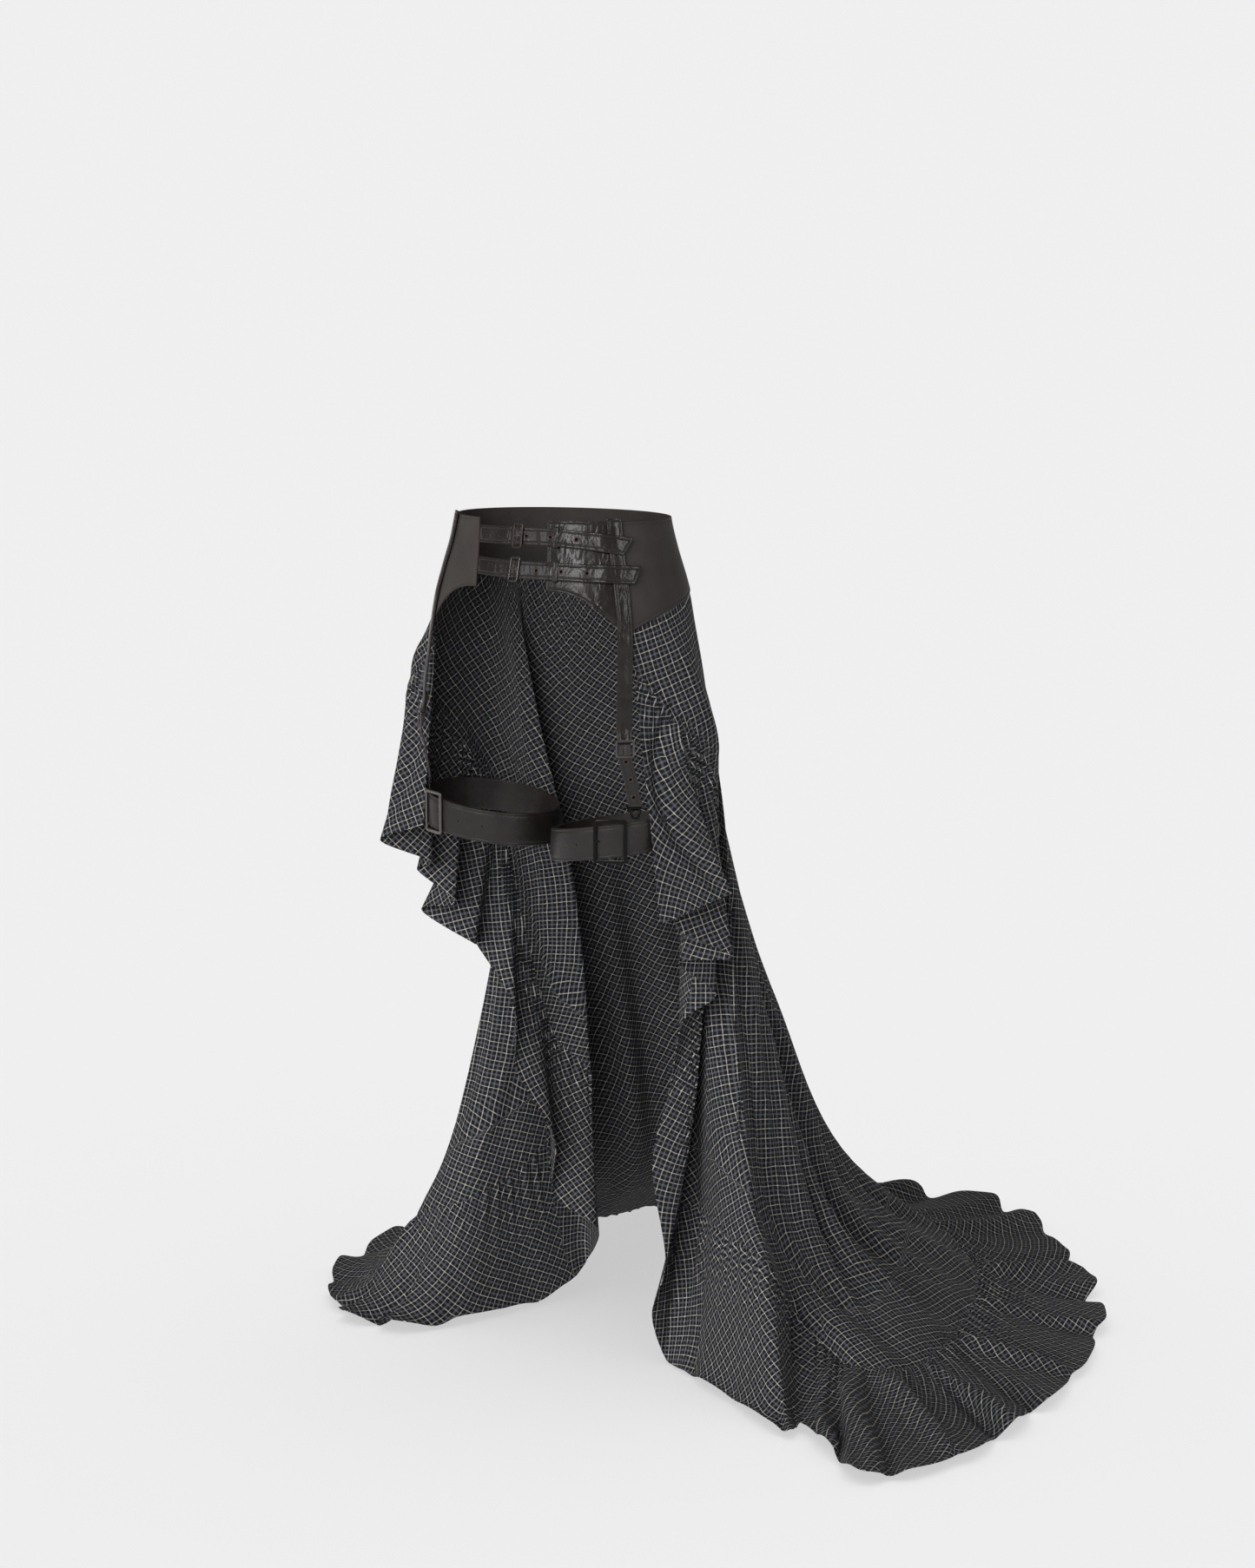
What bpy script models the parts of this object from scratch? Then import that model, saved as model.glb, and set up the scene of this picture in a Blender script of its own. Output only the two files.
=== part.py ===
"""Garter belt with an open-front plaid skirt whose ruffled hem falls into a floor train.

Metres, +Z up. The origin is the centre of the waist ring, the wearer faces -Y and the
wearer's left is +X. The garment keeps the hollow form in which it is worn.
"""
import math

import bmesh
import bpy
import numpy as np
from mathutils import Matrix, Vector

SEAM_GAP = 0.0003
CLOTH_SEAM_GAP = 0.0005
LEATHER = 0.0020
CLOTH = 0.0016
FLOOR = -1.0
SHARP_ANGLE = 40.0
OUTER_CORNER_CUT = 0.0015
INNER_CORNER_CUT = 0.0006

# The hips under the belt, as half sizes of an oval at each height.
# Columns: height, half width, half depth.
HIP = (
    (0.010, 0.1295, 0.0930),
    (0.000, 0.1305, 0.0940),
    (-0.035, 0.1390, 0.1000),
    (-0.070, 0.1500, 0.1090),
    (-0.100, 0.1575, 0.1160),
    (-0.130, 0.1620, 0.1200),
    (-0.300, 0.1680, 0.1260),
)

# The lower edge of the yoke. Columns: oval angle in degrees from the wearer's left, height.
YOKE_EDGE = (
    (-36.0, -0.1230),
    (-15.0, -0.1020),
    (5.0, -0.0910),
    (25.0, -0.0820),
    (55.0, -0.0750),
    (90.0, -0.0720),
)

STRAP_ANGLE = -36.0
PANEL_EDGE_X = 0.047
# How far both front edges lie towards the wearer's left, at the top and at the bottom.
EDGE_LEAN = (-0.007, 0.002)
PANEL_FRONT_DROP = 0.076
PANEL_SIDE_DROP = 0.047
PANEL_CURVE_POWER = 2.6

# The cloth hangs in lines from the yoke to the ruffle seam and on to the hem.
# Side tables, front edge first. Columns: oval angle at the yoke, seam x, y, z, hem x, y, z.
LEFT_CASCADE = (
    (-35.0, 0.1365, -0.0635, -0.158, 0.170, -0.0585, -0.444),
    (-25.0, 0.1680, -0.0160, -0.228, 0.214, 0.020, -0.417),
    (-14.0, 0.1740, 0.0180, -0.256, 0.153, -0.004, -0.455),
    (-4.0, 0.1720, 0.0460, -0.288, 0.197, 0.049, -0.496),
    (5.0, 0.1640, 0.0660, -0.318, 0.140, 0.026, -0.505),
    (13.0, 0.1550, 0.0800, -0.360, 0.156, 0.078, -0.549),
    (20.0, 0.1460, 0.0880, -0.412, 0.125, 0.058, -0.580),
    (26.0, 0.1360, 0.0920, -0.490, 0.100, 0.068, -0.665),
    (31.0, 0.1260, 0.0940, -0.590, 0.084, 0.056, -0.755),
    (35.0, 0.1140, 0.0950, -0.690, 0.100, 0.060, -0.870),
    (38.0, 0.1000, 0.0980, -0.765, 0.080, 0.062, -0.940),
    (40.5, 0.0810, 0.1180, -0.818, 0.092, 0.074, -0.994),
    (43.0, 0.1000, 0.1280, -0.820, 0.116, 0.062, -0.996),
)
RIGHT_CASCADE = (
    (215.0, -0.1370, -0.0600, -0.158, -0.158, -0.0580, -0.362),
    (206.0, -0.1870, -0.0480, -0.205, -0.214, -0.067, -0.385),
    (198.0, -0.1860, -0.0120, -0.232, -0.172, -0.024, -0.412),
    (190.0, -0.1830, 0.0150, -0.252, -0.208, -0.005, -0.428),
    (182.0, -0.1740, 0.0420, -0.280, -0.166, 0.012, -0.465),
    (175.0, -0.1700, 0.0620, -0.306, -0.230, 0.031, -0.484),
    (168.0, -0.1650, 0.0790, -0.338, -0.166, 0.048, -0.520),
    (162.0, -0.1600, 0.0920, -0.368, -0.184, 0.078, -0.528),
    (157.0, -0.1540, 0.1030, -0.420, -0.130, 0.080, -0.600),
    (153.0, -0.1460, 0.1160, -0.490, -0.138, 0.096, -0.680),
    (149.0, -0.1360, 0.1350, -0.575, -0.102, 0.122, -0.765),
    (146.0, -0.1260, 0.1600, -0.650, -0.120, 0.148, -0.845),
    (143.0, -0.0960, 0.1900, -0.695, -0.080, 0.180, -0.885),
    (140.0, -0.1460, 0.2150, -0.765, -0.140, 0.250, -0.950),
)
# Long lines of the train, wearer's left first. Columns: oval angle at the yoke, swell out
# over the thigh, knee-height x, y, ankle-height x, y, seam x, y, z, hem x, y on the floor.
TRAIN = (
    (46.0, 0.022, 0.148, 0.100, 0.170, 0.074, 0.186, 0.054, -0.822, 0.205, 0.008),
    (50.0, 0.021, 0.174, 0.100, 0.220, 0.062, 0.262, 0.023, -0.836, 0.345, -0.072),
    (53.0, 0.012, 0.156, 0.134, 0.196, 0.118, 0.256, 0.088, -0.905, 0.348, -0.042),
    (56.0, 0.005, 0.170, 0.152, 0.232, 0.136, 0.306, 0.088, -0.950, 0.392, -0.075),
    (60.0, 0.001, 0.168, 0.184, 0.245, 0.158, 0.352, 0.076, -0.956, 0.490, -0.145),
    (64.0, 0.002, 0.148, 0.205, 0.240, 0.200, 0.392, 0.120, -0.960, 0.545, -0.040),
    (69.0, 0.002, 0.135, 0.235, 0.225, 0.255, 0.380, 0.230, -0.962, 0.540, 0.130),
    (74.0, 0.002, 0.115, 0.276, 0.195, 0.335, 0.340, 0.360, -0.962, 0.512, 0.320),
    (79.0, 0.006, 0.090, 0.322, 0.155, 0.415, 0.285, 0.480, -0.962, 0.435, 0.515),
    (84.0, 0.006, 0.056, 0.374, 0.100, 0.500, 0.195, 0.600, -0.962, 0.300, 0.700),
    (89.0, 0.006, 0.014, 0.420, 0.030, 0.580, 0.080, 0.680, -0.962, 0.135, 0.870),
    (95.0, 0.008, -0.038, 0.412, -0.045, 0.575, -0.040, 0.695, -0.962, -0.030, 0.885),
    (101.0, 0.008, -0.085, 0.365, -0.105, 0.500, -0.155, 0.635, -0.962, -0.200, 0.800),
    (108.0, 0.008, -0.122, 0.320, -0.155, 0.410, -0.240, 0.530, -0.962, -0.335, 0.665),
    (114.0, 0.012, -0.150, 0.272, -0.190, 0.325, -0.300, 0.410, -0.962, -0.425, 0.500),
    (119.0, 0.020, -0.178, 0.226, -0.222, 0.245, -0.340, 0.285, -0.958, -0.478, 0.330),
    (124.0, 0.032, -0.206, 0.181, -0.256, 0.168, -0.335, 0.170, -0.930, -0.455, 0.140),
    (129.0, 0.040, -0.221, 0.140, -0.257, 0.108, -0.282, 0.091, -0.878, -0.330, 0.000),
    (133.0, 0.038, -0.201, 0.134, -0.211, 0.110, -0.208, 0.088, -0.850, -0.225, 0.010),
    (137.0, 0.030, -0.176, 0.156, -0.180, 0.150, -0.176, 0.154, -0.820, -0.162, 0.190),
)
# How a cascade line falls. Columns: share of its drop, share of its way out made by then.
FALLS_OUT = ((0.30, 0.36), (0.55, 0.72), (0.80, 0.92))
# Cascade lines whose angle from the back lies between these swell a little over the hip.
SWELL_ANGLES = (57.0, 112.0)
SWELL_SHARE = 0.05
SWELL_MOST = 0.006
FRONT_EDGE_ANGLE = 124.0
FRONT_EDGE_FLARE = 0.90
CASCADE_FLARE = 0.35
KNEE = -0.62
ANKLE_SHARE = 0.70
THIGH_SHARE = 0.42
HEM_LIFT = 0.002

# Long folds pressed into the train. Columns: place along TRAIN in lines, half width in lines,
# depth, share of the length at which the fold starts.
TRAIN_FOLDS = (
    (5.1, 0.50, 0.016, 0.30),
    (6.5, 0.60, 0.026, 0.25),
    (7.7, 0.50, 0.018, 0.35),
    (8.8, 0.55, 0.022, 0.30),
    (9.9, 0.50, 0.016, 0.40),
    (11.0, 0.55, 0.022, 0.30),
    (12.2, 0.55, 0.018, 0.35),
    (13.4, 0.55, 0.022, 0.30),
    (14.6, 0.50, 0.016, 0.25),
)
FOLD_CREST = 0.72
FOLD_AT_SEAM = 0.35

BODY_ROWS = 10
RUFFLE_ROWS = 6
SIDE_COLUMNS = 2
TRAIN_COLUMNS = 4
FLOOR_WAVES = 30
FLOOR_WAVE_HEIGHT = 0.018
FLOOR_WAVE_REACH = 0.011
# How the hem's waves drift and change in size along it. Columns: amount, length in lines.
WAVE_DRIFT = (0.9, 3.7)
WAVE_CHANGE = (0.35, 2.3)
# The waves die down where the hem folds back on itself. Columns: middle and half width in lines.
WAVE_CALM = (14.6, 1.4)

GARTER_WIDTH = 0.0175
GARTER_LOWER_WIDTH = 0.0150
GARTER_RISE = 0.003
GARTER_LOWER_LEATHER = 0.0016
BUCKLE_RISE = 0.0108
CLIP_HEIGHT = 0.0135
CLIP_SEAT = 0.0015
# How far the lower garter strap lies behind the strap above and in front of the buckle's middle.
LOWER_BEHIND = 0.0026
LOWER_AHEAD = 0.0024
LOWER_BELOW_BUCKLE = 0.0085
# Buckle frames. Columns: width, height, bar width, thickness.
GARTER_BUCKLE = (0.0215, 0.0200, 0.0022, 0.0020)
GARTER_CLIP = (0.0180, CLIP_HEIGHT, 0.0026, 0.0024)
THIGH_BUCKLE = (0.0380, 0.0490, 0.0040, 0.0026)
FRONT_BUCKLE = (0.0145, 0.0280, 0.0022, 0.0020)
# Garter lines below the belt. Columns: side, x, y at the buckle, buckle height, clip x, y.
GARTERS = (
    ("left", 0.1345, -0.0770, -0.2475, 0.1450, -0.0705),
    ("right", -0.1405, -0.0810, -0.2350, -0.1400, -0.0685),
)

BAND_HEIGHT = 0.0370
BAND_LEATHER = 0.0022
# Thigh bands. Columns: side, centre x, y, top height, rise to the outer side, radius, degrees
# by which the tail passes the buckle.
BANDS = (
    ("left", 0.0900, -0.0180, -0.3375, 0.0120, 0.0740, 110.0),
    ("right", -0.0900, -0.0120, -0.3272, 0.0125, 0.0740, 150.0),
)
BUCKLE_ANGLE = 64.5
BUCKLE_STAND_OFF = 0.0046
# How the tail of a thigh band climbs over its start. Columns: degrees round, lift.
BAND_LIFT = (
    (0.0, 0.0),
    (325.0, 0.0),
    (352.0, 0.0034),
    (720.0, 0.0034),
)
TAIL_TAPER = (0.80, 0.35)

STRAP_WIDTH = 0.0190
# Front straps. Columns: name, oval angle of the tip's lower and upper corner.
FRONT_STRAPS = (
    ("upper", -33.3, -26.0),
    ("lower", -29.6, -24.0),
)
# Heights of the front straps' middles. Columns: share of the way to the tip, upper, lower strap.
STRAP_FALL = (
    (0.00, -0.0182, -0.0525),
    (0.30, -0.0179, -0.0547),
    (0.55, -0.0187, -0.0558),
    (0.85, -0.0242, -0.0582),
    (1.00, -0.0288, -0.0597),
)
FRONT_STRAP_LEATHER = 0.0018
FRONT_BUCKLE_ANGLE = -86.7
FRONT_BUCKLE_STAND_OFF = 0.0024
TAB_WIDTH = 0.0180
TAB_ANGLE = -85.4
# Share of a strap's way from its start to its tip at the buckle and at the keeper.
WAY_TO_BUCKLE = 0.30
WAY_TO_KEEPER = 0.55
# How far the front straps stand off the belt. Columns: oval angle, lift.
STRAP_LIFT = (
    (-95.0, 0.0),
    (-88.5, 0.0),
    (-84.8, 0.0049),
    (-75.0, 0.0049),
    (-70.0, 0.0035),
    (-50.0, 0.0035),
    (-41.0, 0.0058),
    (-20.0, 0.0063),
)
KEEPER_ANGLE = -66.6
KEEPER_LIFT = 0.0035
KEEPER_HALF_HEIGHT = 0.0112
KEEPER_HALF_DEPTH = 0.0016
KEEPER_HALF_WIDTH = 0.0028
KEEPER_LEATHER = 0.0010
# Oval angles between which a front strap bends over its buckle.
STRAP_BENDS = (-90.2, -88.5, -87.2, -86.0, -84.8, -82.0, -78.5, -75.0)


def smooth(knots, values, at):
    """Cubic curve through the values, each slope taken from the two neighbours."""
    knots = np.asarray(knots, float)
    values = np.asarray(values, float)
    at = np.clip(np.asarray(at, float), knots[0], knots[-1])
    slopes = np.gradient(values, knots, axis=0)
    cell = np.clip(np.searchsorted(knots, at, side="right") - 1, 0, len(knots) - 2)
    width = knots[cell + 1] - knots[cell]
    part = (at - knots[cell]) / width
    if values.ndim > 1:
        part = part[..., None]
        width = width[..., None]
    start = (1 + 2 * part) * (1 - part) ** 2 * values[cell]
    end = part ** 2 * (3 - 2 * part) * values[cell + 1]
    bend = part * (1 - part) * ((1 - part) * slopes[cell] - part * slopes[cell + 1]) * width
    return start + end + bend


def between_lines(lines, place):
    """Values at places among lines, curving no further past a line than its nearer neighbour."""
    step = np.diff(lines, axis=0)
    length = np.linalg.norm(step[:, :18], axis=1)[:, None]
    slope = np.zeros_like(lines)
    slope[1:-1] = (step[1:] / length[1:] + step[:-1] / length[:-1]) / 2
    slope[1:-1] *= np.minimum(length[1:], length[:-1])
    slope[0] = step[0]
    slope[-1] = step[-1]
    first = np.clip(np.floor(place).astype(int), 0, len(lines) - 2)
    part = (place - first)[:, None]
    start, end = lines[first], lines[first + 1]
    return (start * (1 + 2 * part) * (1 - part) ** 2 + end * (3 - 2 * part) * part ** 2
            + slope[first] * part * (1 - part) ** 2 - slope[first + 1] * part ** 2 * (1 - part))


def unit(vectors):
    """Vectors scaled to length one."""
    return vectors / np.maximum(np.linalg.norm(vectors, axis=-1, keepdims=True), 1e-9)


def hip_size(height):
    """Half width and half depth of the hips at a height."""
    table = np.array(sorted(HIP))
    return smooth(table[:, 0], table[:, 1:], height).T


def hip_point(angle, height, out=0.0):
    """Point over the hips at an oval angle in degrees, and the way out of the hips there."""
    angle = np.asarray(angle, float)
    height = np.asarray(height, float) + 0.0 * angle
    step = 0.004
    cosine = np.cos(np.radians(angle))
    sine = np.sin(np.radians(angle))
    half_width, half_depth = hip_size(height)
    above, below = (
        np.stack([size[0] * cosine, size[1] * sine, height + move], axis=-1)
        for move, size in ((step, hip_size(height + step)), (-step, hip_size(height - step))))
    along = np.stack([-half_width * sine, half_depth * cosine, 0 * angle], axis=-1)
    away = unit(np.cross(along, above - below))
    place = np.stack([half_width * cosine, half_depth * sine, height], axis=-1)
    return place + away * np.asarray(out)[..., None], away


def edge_reach(height, sign):
    """Distance of a front panel's front edge from the middle; sign is 1 for the wearer's left."""
    lean = EDGE_LEAN[0] - (EDGE_LEAN[1] - EDGE_LEAN[0]) * height / PANEL_FRONT_DROP
    return PANEL_EDGE_X + sign * lean


def edge_angle(height, sign):
    """Oval angle, as on the wearer's left, a strap's seam gap in front of a panel's front edge."""
    reach = edge_reach(height, sign) - 2 * SEAM_GAP
    return -math.degrees(math.acos(reach / hip_size(height)[0]))


def strap_height(column, way):
    """Height of a front strap's middle at a share of the way to its tip."""
    table = np.array(STRAP_FALL)
    return smooth(table[:, 0], table[:, column], way)


def yoke_edge(angle):
    """Height of the yoke's lower edge, the same on both sides."""
    table = np.array(YOKE_EDGE)
    folded = np.where(np.asarray(angle) > 90, 180 - np.asarray(angle, float), angle)
    return smooth(table[:, 0], table[:, 1], folded)


def paint(name, colour, roughness, metallic):
    """Principled material of one colour."""
    material = bpy.data.materials.new(name)
    material.use_nodes = True
    shader = material.node_tree.nodes["Principled BSDF"]
    shader.inputs["Base Color"].default_value = (*colour, 1)
    shader.inputs["Roughness"].default_value = roughness
    shader.inputs["Metallic"].default_value = metallic
    material.diffuse_color = (*colour, 1)
    return material


def add_object(name, mesh, material):
    """Object for one piece, with outward faces and its material."""
    shape = bmesh.new()
    shape.from_mesh(mesh)
    bmesh.ops.recalc_face_normals(shape, faces=shape.faces)
    shape.to_mesh(mesh)
    shape.free()
    mesh.materials.append(material)
    mesh.shade_smooth()
    mesh.set_sharp_from_angle(angle=math.radians(SHARP_ANGLE))
    piece = bpy.data.objects.new(name, mesh)
    garment.objects.link(piece)
    return piece


def wall(a, b, back, turned):
    """Two faces that close an edge from a to b; every edge is split along the same diagonal."""
    if turned:
        return [(a, b, back + a), (b, back + b, back + a)]
    return [(b, a, back + a), (b, back + a, back + b)]


def shell(name, middle, normal, thickness, material, ring=False):
    """Closed wall around a grid of middle points; ring joins its last row to its first."""
    rows, columns = middle.shape[:2]
    outer = (middle + normal * thickness / 2).reshape(-1, 3)
    inner = (middle - normal * thickness / 2).reshape(-1, 3)
    points = np.concatenate([outer, inner])
    back = rows * columns
    faces = []
    for row in range(rows if ring else rows - 1):
        after = (row + 1) % rows
        for column in range(columns - 1):
            a = row * columns + column
            b = after * columns + column
            faces += [(a, b, b + 1), (a, b + 1, a + 1)]
            faces += [(back + b + 1, back + b, back + a), (back + a + 1, back + b + 1, back + a)]
        faces += wall(row * columns, after * columns, back, False)
        faces += wall((row + 1) * columns - 1, (after + 1) * columns - 1, back, True)
    if not ring:
        for column in range(columns - 1):
            last = (rows - 1) * columns + column
            faces += wall(column, column + 1, back, True)
            faces += wall(last, last + 1, back, False)
    mesh = bpy.data.meshes.new(name)
    mesh.from_pydata([tuple(point) for point in points], [], faces)
    return add_object(name, mesh, material)


def grid_normal(grid):
    """Unit normals of a grid whose rows run round the body and whose columns run down."""
    return unit(np.cross(np.gradient(grid, axis=1), np.gradient(grid, axis=0)))


def frame_plate(name, size, material):
    """Flat rectangular buckle frame in the XZ plane, from two outlines."""
    width, height, bar, thickness = size
    outline = bpy.data.curves.new(name, "CURVE")
    outline.dimensions = "2D"
    outline.fill_mode = "BOTH"
    outline.extrude = thickness / 2
    for inset in (0.0, bar):
        half_x = width / 2 - inset
        half_y = height / 2 - inset
        cut = OUTER_CORNER_CUT if inset == 0 else INNER_CORNER_CUT
        corners = []
        for sign_x, sign_y in ((1, 1), (-1, 1), (-1, -1), (1, -1)):
            first = (sign_x * half_x, sign_y * (half_y - cut), 0, 1)
            second = (sign_x * (half_x - cut), sign_y * half_y, 0, 1)
            corners += [first, second] if sign_x == sign_y else [second, first]
        spline = outline.splines.new("POLY")
        spline.points.add(len(corners) - 1)
        for point, corner in zip(spline.points, corners):
            point.co = corner
        spline.use_cyclic_u = True
    guide = bpy.data.objects.new(name + "_outline", outline)
    garment.objects.link(guide)
    bpy.context.view_layer.update()
    mesh = bpy.data.meshes.new_from_object(guide.evaluated_get(bpy.context.evaluated_depsgraph_get()))
    bpy.data.objects.remove(guide)
    shape = bmesh.new()
    shape.from_mesh(mesh)
    bmesh.ops.remove_doubles(shape, verts=shape.verts, dist=0.00001)
    bmesh.ops.rotate(shape, verts=shape.verts, matrix=Matrix.Rotation(math.pi / 2, 3, "X"))
    shape.to_mesh(mesh)
    shape.free()
    return add_object(name, mesh, material)


def facing(place, away):
    """Matrix that lays an XZ plate at a place with its -Y side facing a direction."""
    away = Vector(away).normalized()
    side = Vector((0, 0, 1)).cross(away).normalized()
    turn = Matrix((side, -away, away.cross(side))).transposed().to_4x4()
    return Matrix.Translation(Vector(place)) @ turn


def build_front_panels():
    """Two shaped leather panels with straight front edges and a curved cut over the thigh."""
    share = np.linspace(0, 1, 13)
    for side, sign in (("left", 1), ("right", -1)):
        grid = []
        away = []
        for part in np.linspace(0, 1, 5):
            height = -part * (PANEL_FRONT_DROP + PANEL_SIDE_DROP * share ** PANEL_CURVE_POWER)
            half_width = hip_size(height)[0]
            seam = half_width * math.cos(math.radians(STRAP_ANGLE)) - SEAM_GAP / 2
            front = edge_reach(-part * PANEL_FRONT_DROP, sign)
            across = front + (seam - front) * share
            place, out = hip_point(-np.degrees(np.arccos(across / half_width)), height)
            grid.append(place * (sign, 1, 1))
            away.append(out * (sign, 1, 1))
        shell(f"front_panel_{side}", np.stack(grid, axis=1), np.stack(away, axis=1), LEATHER, leather)


def build_yoke():
    """Leather yoke from one side seam round the back to the other."""
    reach = math.degrees(SEAM_GAP / 2 / 0.12)
    angle = np.linspace(STRAP_ANGLE + reach, 180 - STRAP_ANGLE - reach, 49)
    grid = []
    away = []
    for part in np.linspace(0, 1, 4):
        place, out = hip_point(angle, part * yoke_edge(angle))
        grid.append(place)
        away.append(out)
    shell("back_yoke", np.stack(grid, axis=1), np.stack(away, axis=1), LEATHER, matte_leather)


def ribbon(name, centre, across, width, normal, thickness, material):
    """Strap along a line of points, with its width at each point."""
    half = np.asarray(width)[..., None] / 2 * across
    middle = np.stack([centre + half, centre - half], axis=1)
    return shell(name, middle, np.stack([normal, normal], axis=1), thickness, material)


def band_top(side, angle):
    """Height of a thigh band's top edge at an angle from its outer side."""
    row = BANDS[0] if side == "left" else BANDS[1]
    return row[3] + row[4] * np.cos(angle)


def build_garters():
    """Straps over the side seams, their buckles, lower straps and clips to the thigh bands."""
    stand_off = LEATHER + 2 * SEAM_GAP
    for side, x, y, buckle_height, clip_x, clip_y in GARTERS:
        angle = STRAP_ANGLE if side == "left" else 180 - STRAP_ANGLE
        belt_height = np.array([GARTER_RISE, -0.03, -0.06, -0.09, -0.124])
        place, away = hip_point(np.full(5, angle), belt_height, stand_off)
        buckle = np.array([x, y, buckle_height])
        end = buckle + np.array([0, 0, BUCKLE_RISE])
        hang = place[-1] + (end - place[-1]) * np.array([0.3, 0.65, 1.0])[:, None]
        out = unit(away[-1] * (1, 1, 0))
        normal = np.concatenate([away, np.repeat(out[None], 3, axis=0)])
        across = unit(np.cross(normal, (0, 0, 1)))
        ribbon(f"garter_strap_{side}", np.concatenate([place, hang]), across,
               np.full(8, GARTER_WIDTH), normal, LEATHER, gloss_leather)

        plate = frame_plate(f"garter_buckle_{side}", GARTER_BUCKLE, steel)
        plate.matrix_world = facing(buckle, out)

        row = BANDS[0] if side == "left" else BANDS[1]
        clip_angle = math.atan2(clip_y - row[2], abs(clip_x - row[1]))
        clip = np.array([clip_x, clip_y, float(band_top(side, clip_angle)) + CLIP_SEAT + CLIP_HEIGHT])
        behind = [end + (place[-1] - end) * share - out * LOWER_BEHIND for share in (0.22, 0.12, 0.0)]
        front = buckle + out * LOWER_AHEAD
        low = np.array([0, 0, -LOWER_BELOW_BUCKLE])
        lower = np.stack([*behind, front + low, front + (clip - front) * 0.45, front + (clip - front) * 0.75,
                          clip + (0, 0, SEAM_GAP)])
        taper = GARTER_LOWER_WIDTH * np.array([1, 1, 1, 1, 1, 1, 0.8])
        ribbon(f"garter_lower_{side}", lower, np.repeat(across[-1:], 7, axis=0), taper,
               np.repeat(out[None], 7, axis=0), GARTER_LOWER_LEATHER, gloss_leather)

        hook = frame_plate(f"garter_clip_{side}", GARTER_CLIP, steel)
        hook.matrix_world = facing(clip - (0, 0, CLIP_HEIGHT / 2), out)


def build_thigh_bands():
    """Leather bands whose tails pass their buckles and lie over the band."""
    for side, x, y, top, rise, radius, tail in BANDS:
        sign = 1 if side == "left" else -1
        turn = np.linspace(0, 360 + tail, 50)
        layer = np.interp(turn, *zip(*BAND_LIFT))
        angle = np.radians(-BUCKLE_ANGLE - turn)
        out = np.stack([sign * np.cos(angle), np.sin(angle), 0 * angle], axis=-1)
        centre = np.array([x, y, top - BAND_HEIGHT / 2]) + out * (radius + layer)[:, None]
        centre[:, 2] += rise * np.cos(angle)
        width = np.full(len(turn), BAND_HEIGHT)
        width[-2:] *= TAIL_TAPER
        across = np.tile((0.0, 0.0, 1.0), (len(turn), 1))
        ribbon(f"thigh_band_{side}", centre, across, width, out, BAND_LEATHER, leather)

        angle = math.radians(-BUCKLE_ANGLE)
        away = np.array([sign * math.cos(angle), math.sin(angle), 0])
        place = np.array([x, y, top - BAND_HEIGHT / 2]) + away * (radius + BUCKLE_STAND_OFF)
        place[2] += rise * math.cos(angle)
        plate = frame_plate(f"thigh_buckle_{side}", THIGH_BUCKLE, steel)
        plate.matrix_world = facing(place, away)


def build_front_straps():
    """Closure straps from the wearer's right panel, their buckles, tabs and keepers."""
    for column, (name, low_tip, high_tip) in enumerate(FRONT_STRAPS, start=1):
        edges = []
        ways = []
        for edge, tip in ((1, high_tip), (-1, low_tip)):
            start = -180 - edge_angle(float(strap_height(column, 0)) + edge * STRAP_WIDTH / 2, -1)
            angle = np.concatenate([np.linspace(start, STRAP_BENDS[0] - 1.8, 5), STRAP_BENDS,
                                    np.linspace(STRAP_BENDS[-1] + 4, tip, 12)])
            height = strap_height(column, (angle - start) / (tip - start)) + edge * STRAP_WIDTH / 2
            lift = np.interp(angle, *zip(*STRAP_LIFT))
            place, away = hip_point(angle, height, lift)
            edges.append(place)
            ways.append(away)
        shell(f"front_strap_{name}", np.stack(edges, axis=1), np.stack(ways, axis=1),
              FRONT_STRAP_LEATHER, gloss_leather)

        height = float(strap_height(column, WAY_TO_BUCKLE))
        place, away = hip_point(FRONT_BUCKLE_ANGLE, height, FRONT_BUCKLE_STAND_OFF)
        plate = frame_plate(f"front_buckle_{name}", FRONT_BUCKLE, steel)
        plate.matrix_world = facing(place, away)

        edges = []
        for level in (height + TAB_WIDTH / 2, height - TAB_WIDTH / 2):
            edges.append(hip_point(np.linspace(TAB_ANGLE, edge_angle(level, 1), 6), level))
        shell(f"buckle_tab_{name}", np.stack([edge[0] for edge in edges], axis=1),
              np.stack([edge[1] for edge in edges], axis=1), FRONT_STRAP_LEATHER, leather)

        height = float(strap_height(column, WAY_TO_KEEPER))
        place, away = hip_point(KEEPER_ANGLE, height, KEEPER_LIFT)
        side = unit(np.cross(away, (0, 0, 1)))
        up = np.cross(side, away)
        corners = np.array([(1, 1), (-1, 1), (-1, -1), (1, -1)]) * (KEEPER_HALF_HEIGHT, KEEPER_HALF_DEPTH)
        middle = place + corners[:, :1] * up + corners[:, 1:] * away
        spread = unit(np.sign(corners[:, :1]) * up + np.sign(corners[:, 1:]) * away) * math.sqrt(2)
        loop = np.stack([middle + side * KEEPER_HALF_WIDTH, middle - side * KEEPER_HALF_WIDTH], axis=1)
        shell(f"keeper_{name}", loop, np.stack([spread, spread], axis=1), KEEPER_LEATHER, leather, ring=True)


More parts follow.
